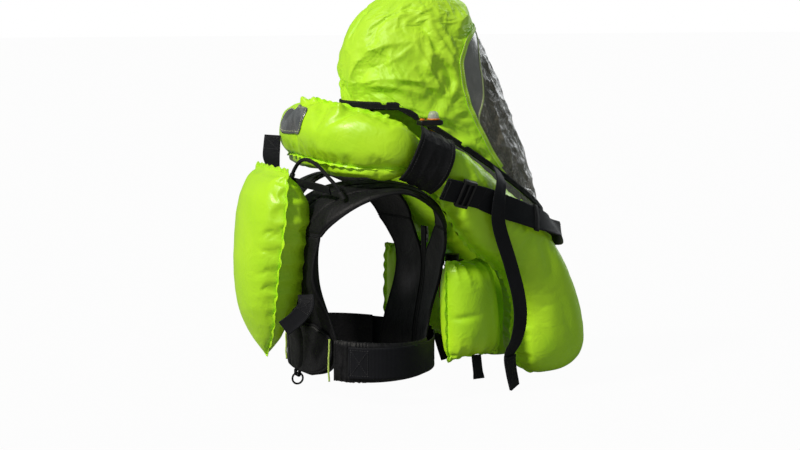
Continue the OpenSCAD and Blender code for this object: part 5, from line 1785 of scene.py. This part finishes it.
    def rear(self, looks: Finishes) -> None:
        """The collar's strap, the back bladder's tab, the becket cord and the lumbar loop."""
        down = [(68, 206, 26), (67, 208, 8), (67, 209, -12), (70, 204, -30), (74, 193, -44)]
        outs = [(-0.4, 0.9, 0), (-0.45, 0.9, 0), (-0.45, 0.9, 0), (-0.2, 1, -0.4), (0.2, 0.8, -1)]
        t = np.linspace(0, 4, 50)
        line = clear_of(spline(down, t), 2.4, "collar_bladder_skin")
        upper = strap("collar_strap_web", line, spline(outs, t), self.web_w, self.thick)
        fit(upper, looks.webbing, ["collar_strap"])
        tack = box_x(line[3:16], unit(spline(outs, t))[3:16], self.web_w - 9, 1.2)
        run = [(78, 186, -47), (40, 198, -44), (0, 203, -43), (-40, 199, -43), (-84, 186, -46),
               (-112, 174, -50)]
        t = np.linspace(0, 5, 90)
        face = np.broadcast_to(np.array([0, 1, -0.35]), (90, 3))
        line = spline(run, t) + np.array([0, 0.6, 0]) * np.sin(t * 4)[:, None]
        fit(strap("collar_strap_run", line, face, 14, 2.4), looks.webbing)
        sew("collar_strap", tack, 3.6, 2.6, 0.4, looks)
        becket = [(-28, 209, -38), (-36, 206, -22), (-52, 202, -8), (-72, 197, -4), (-94, 188, -12),
                  (-112, 178, -28), (-126, 168, -44), (-132, 160, -60)]
        cord = tube("becket_cord_braid", spline(becket, np.linspace(0, 7, 90)), 3, 16, 1.6)
        fit(cord, looks.braid, ["becket_cord"])
        for k, (spot, other) in enumerate(((becket[0], becket[1]), (becket[-1], becket[-2]))):
            spot = np.array(spot, float)
            line = spot + steps_down(-0.12, 0.55, 12) * (np.array(other, float) - spot)
            fit(tube(f"becket_sleeve_{k + 1}", line, 4.2, 14, 1.0), looks.rubber)
        tab = [(-92, 208, -214), (-98, 211, -232), (-94, 224, -250), (-79, 241, -268)]
        t = np.linspace(0, 3, 50)
        outs = np.broadcast_to(np.array([-0.8, 0.5, 0.1]), (50, 3))
        line = spline(tab, t)
        piece = strap("back_tab_web", line, outs, 26, 2.6, 2)
        fit(piece, looks.webbing, ["back_tab"])
        sewn = slice(6, 24)
        sew("back_tab", box_x(line[sewn], unit(outs[sewn]), 18, 1.4), 3.2, 2.3, 0.4, looks)
        low, high = (Vector(c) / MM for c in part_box("lumbar_loop"))
        middle, r = (low + high) / 2, (high.z - low.z) / 2 - 1.6
        loop = hoop("lumbar_loop_braid", middle, r, 1.6, (1, 2), 12, 72)
        fit(loop, looks.braid, ["lumbar_loop"], "lumbar_loop")

    def tape(self, looks: Finishes) -> None:
        """Reflective film patches with a sewn edge: one behind the neck and one on each chest lobe."""
        n, m = 40, 56
        v = steps_down(-1, 1, n)
        u = steps_over(-1, 1, m)
        round_u = u * (1 - 0.12 * np.abs(v) ** 5)
        round_v = v * (1 - 0.12 * np.abs(u) ** 5)
        t, a = 2.96 + 0.44 * round_u, 27 + 25 * round_v
        neck = np.array([0, 100, 0])
        spots = [("rear", self.collar.surface(t, a, 4.0), "collar_bladder_skin", neck)]
        t, a = 4.62 + 0.33 * round_v, 119 + 20 * round_u
        front = self.chest.at(*np.broadcast_arrays(t, a), 3.0)
        for side in Side:
            grid = front * side.flip
            lobe = np.array([side.value * 90, -150, 0.0])
            spots.append((side.word, grid, f"chest_bladder_{side.word}_skin", lobe))
        for word, grid, skin, middle in spots:
            piece = sheet_grid(f"reflective_patch_{word}", grid)
            shrink_onto(piece, bpy.data.objects[skin], 1.0)
            laid = points_of(piece).reshape(n, m, 3)
            centre = laid.mean((0, 1))
            if word != "rear":
                middle[2] = centre[2]
            out = unit(centre - middle)
            if float(np.mean(normals_of(piece) @ out)) < 0:
                piece.data.flip_normals()
            thicken(piece, 0.7, 1.0)
            fit(piece, looks.tape, ["reflective_patches"] if word == "rear" else [])
            edges = [laid[i, 2:-2] for i in (2, n - 3)] + [laid[2:-2, j] for j in (2, m - 3)]
            rows = [(edge + out * 1.0, np.broadcast_to(out, edge.shape)) for edge in edges]
            fit(stitches(f"reflective_patch_{word}_stitches", rows, 3.6, 2.4, 0.4), looks.thread)

    def build(self, looks: Finishes) -> None:
        """Makes every strap."""
        for side in Side:
            self.shoulder_band(side, looks)
            self.chest_strap(side, looks)
            self.lobe_strap(side, looks)
            self.belt(side, looks)
        self.slack("chest_slack", self.web_w, looks)
        self.slack("belt_slack", self.belt_w, looks)
        self.rear(looks)
        self.tape(looks)


# ---- Hardware ----
def dress(node: str, finish: Finish, edge: float) -> None:
    """Rounds a CAD part's edges and gives it its finish. Its own mesh stays as it is."""
    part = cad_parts[node]
    part.data.polygons.foreach_set("use_smooth", np.ones(len(part.data.polygons), bool))
    join = part.modifiers.new("Join", "WELD")
    join.merge_threshold = 0.02 * MM
    bevel = part.modifiers.new("Edges", "BEVEL")
    bevel.width = edge * MM
    bevel.segments = 2
    bevel.limit_method = "ANGLE"
    bevel.angle_limit = math.radians(38)
    bevel.harden_normals = True
    finish.put_on(part)


@dataclass
class Hardware:
    """Buckles, adjusters, inflation gear, light and whistle: CAD parts, and detail on them."""

    def block(self, name: str, low: Point, high: Point, corner: float = 5.0, crown: float = 0.16) -> Piece:
        """A moulded block with superellipse sections that shrink towards a rounded top and bottom."""
        low, high = np.array(low, float), np.array(high, float)
        middle, half = (low + high) / 2, (high - low) / 2
        b = steps_down(-np.pi / 2, np.pi / 2, 28)
        a = circle(56)[None, :]
        k = np.maximum(np.cos(b), 0.0) ** crown
        power = 2 / corner
        grid = columns(middle[0] + half[0] * k * spow(np.cos(a), power),
                                            middle[1] + half[1] * k * spow(np.sin(a), power),
                                            middle[2] + half[2] * spow(np.sin(b), 0.5))
        return loft(name, grid)

    def light(self, looks: Finishes) -> None:
        """The sea light: a black base, a clear ribbed dome with an orange rim, and its lamp inside."""
        low, high = (np.array(c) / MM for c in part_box("light_housing"))
        base_top = low[2] + 9
        base = self.block("light_base", low, (high[0], high[1], base_top), 5.0, 0.2)
        fit(base, looks.plastic, ["light_housing"])
        x, y = (low[0] + high[0]) / 2, low[1] + 14
        b = steps_down(0, 1, 30)
        a = circle(48)[None, :]
        rise = 14 * np.sin(b * np.pi / 2)
        r = 9 * np.cos(b * np.pi / 2) ** 0.55 * (1 + 0.012 * np.cos(a * 16)) + 0.02
        dome = columns(x + r * np.cos(a), y + r * np.sin(a), base_top - 0.5 + rise)
        fit(loft("light_dome", dome), looks.lens)
        fit(hoop("light_rim", (x, y, base_top + 0.8), 9.3, 1.2, (0, 1), 10), looks.orange)
        lamp = columns(np.full(8, x), np.full(8, y), np.linspace(base_top, base_top + 8, 8))
        fit(tube("light_lamp", lamp, 2.6, 16, 1.0), looks.steel)

    def oral(self, looks: Finishes) -> None:
        """The oral tube: ribbed rubber, with a clamped collar at its valve end."""
        line = [(59, -96, -84), (44, -92, -82), (32, -82, -62), (28, -72, -34), (26, -66, -6), (26, -66, 16)]
        t = np.linspace(0, 5, 220)
        ribs = 6.7 + 0.3 * np.sin(np.arange(220) * 1.3)
        fit(tube("oral_tube_hose", spline(line, t), ribs, 20, 1.0), looks.rubber, ["oral_tube"])
        for name, z in (("oral_clamp_low", 8.0), ("oral_clamp_high", 12.5)):
            fit(hoop(name, (*line[-1][:2], z), 7.2, 0.8, (0, 1), 8), looks.plastic)

    def whistle_cord(self, looks: Finishes) -> None:
        """The whistle's short cord and the split ring that it hangs by."""
        line = [(-36, -38, -146), (-36, -47, -156), (-36, -53, -170), (-36, -54, -187)]
        cord = tube("whistle_cord_braid", spline(line, np.linspace(0, 3, 50)), 1.5, 12, 1.2)
        fit(cord, looks.braid, ["whistle_cord"])
        fit(hoop("whistle_ring", (-36, -54, -196), 7.6, 1.2, (0, 2), 10, 60), looks.steel)

    def build(self, looks: Finishes) -> None:
        """Dresses every CAD part that stays, and makes the detailed pieces."""
        plastic = ["chest_buckle_socket", "chest_buckle_plug", "chest_prong_right", "chest_prong_left",
                   "belt_buckle_socket", "belt_buckle_plug", "belt_prong_right", "belt_prong_left",
                   "strap_adjuster_right", "strap_adjuster_left", "inflator_body", "oral_cap", "relief_valve"]
        for node in plastic:
            dress(node, looks.plastic, 0.7)
        for node in ("inflator_lever", "pull_toggle", "oral_valve", "whistle", "light_button"):
            dress(node, looks.orange, 0.6)
        for node in ("gas_cylinder", "oral_stem", "zip_slider"):
            dress(node, looks.steel, 0.35)
        self.light(looks)
        self.oral(looks)
        self.whistle_cord(looks)


# ---- Studio ----
@dataclass
class Studio:
    """A pale floor, soft light from the wearer's left rear and above, and the camera."""
    azimuth: float = -113
    elevation: float = 7
    distance: float = 3.0
    target: Point = (0, 0.009, -0.124)
    lens: float = 81.8

    def seen(self, tree: bpy.types.NodeTree) -> Socket:
        """1 where the camera looks at a surface, directly or through clear film."""
        ray = tree.nodes.new("ShaderNodeLightPath").outputs
        return add_node(tree, "Math", 0, {0: ray["Is Camera Ray"], 1: ray["Is Transmission Ray"]},
                        operation="MAXIMUM")

    def floor(self) -> None:
        """A wide pale floor a little below the vest, which looks nearly white."""
        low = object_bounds()[0][2] / MM
        reach = 30000.0
        ends = np.array([-reach, reach])
        x, y = np.meshgrid(ends, ends)
        piece = sheet_grid("floor", columns(x, y, np.full((2, 2), low - 6)))
        graph = Graph("pale_floor")
        graph.set(Base_Color=(0.3, 0.3, 0.3, 1), Roughness=0.9, Specular_IOR_Level=0.1)
        tree = graph.tree
        amount = graph.maths("MULTIPLY", self.seen(tree), 0.97)
        glow = add_node(tree, "Emission", 0, {"Color": (1, 1, 1, 1)})
        blend = add_node(tree, "MixShader", 0, {0: amount, 1: graph.shader.outputs[0], 2: glow})
        tree.links.new(blend, tree.nodes["Material Output"].inputs["Surface"])
        piece.data.materials.append(graph.material)
        piece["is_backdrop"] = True

    def world(self) -> None:
        """An even pale sky that is white to the camera."""
        world = bpy.data.worlds.new("pale_sky")
        bpy.context.scene.world = world
        world.use_nodes = True
        tree = world.node_tree
        tree.nodes.clear()
        plain = add_node(tree, "Background", 0, {"Color": (0.87, 1.0, 0.98, 1), "Strength": 0.22})
        white = add_node(tree, "Background", 0, {"Color": (1, 1, 1, 1)})
        blend = add_node(tree, "MixShader", 0, {0: self.seen(tree), 1: plain, 2: white})
        output = tree.nodes.new("ShaderNodeOutputWorld")
        tree.links.new(blend, output.inputs["Surface"])

    def sun(self, name: str, towards: Point, strength: float, spread: float, colour: Point) -> None:
        """A soft sun that shines from a direction."""
        lamp = bpy.data.lights.new(name, "SUN")
        lamp.energy = strength
        lamp.angle = math.radians(spread)
        lamp.color = colour
        lamp_object = bpy.data.objects.new(name, lamp)
        lamp_object.rotation_euler = Vector(towards).to_track_quat("Z", "Y").to_euler()
        bpy.context.scene.collection.objects.link(lamp_object)

    def camera(self) -> None:
        """The camera, looking at the vest from the wearer's right rear."""
        a, e = math.radians(self.azimuth), math.radians(self.elevation)
        away = Vector((math.sin(a) * math.cos(e), -math.cos(a) * math.cos(e), math.sin(e)))
        lens = bpy.data.cameras.new("camera")
        lens.lens = self.lens
        lens.sensor_width = 36
        eye = bpy.data.objects.new("camera", lens)
        eye.location = Vector(self.target) + away * self.distance
        eye.rotation_euler = away.to_track_quat("Z", "Y").to_euler()
        bpy.context.scene.collection.objects.link(eye)
        bpy.context.scene.camera = eye

    def build(self) -> None:
        """Sets up the whole studio."""
        bpy.context.scene.view_settings.view_transform = "Standard"
        self.camera()
        self.world()
        self.sun("key", (-0.22, 0.84, 0.78), 3.0, 6, (1.0, 0.94, 0.86))
        self.sun("front", (0.8, -0.9, 0.5), 0.9, 40, (0.96, 0.98, 1.0))


def main() -> None:
    """Builds the studio and every sub-assembly in turn."""
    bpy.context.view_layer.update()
    looks = Finishes()
    studio = Studio()
    studio.build()
    studio.floor()
    collar, chest, vest = CollarBladder(), ChestBladders(), Vest()
    collar.build(looks)
    chest.build(looks)
    InnerBladders().build(looks)
    BackBladder().build(looks)
    Hood().build(looks)
    vest.build(looks)
    Straps(chest, collar, vest).build(looks)
    Hardware().build(looks)


if __name__ == "__main__":
    logging.basicConfig(level=logging.INFO, format="%(name)s: %(message)s")
    main()
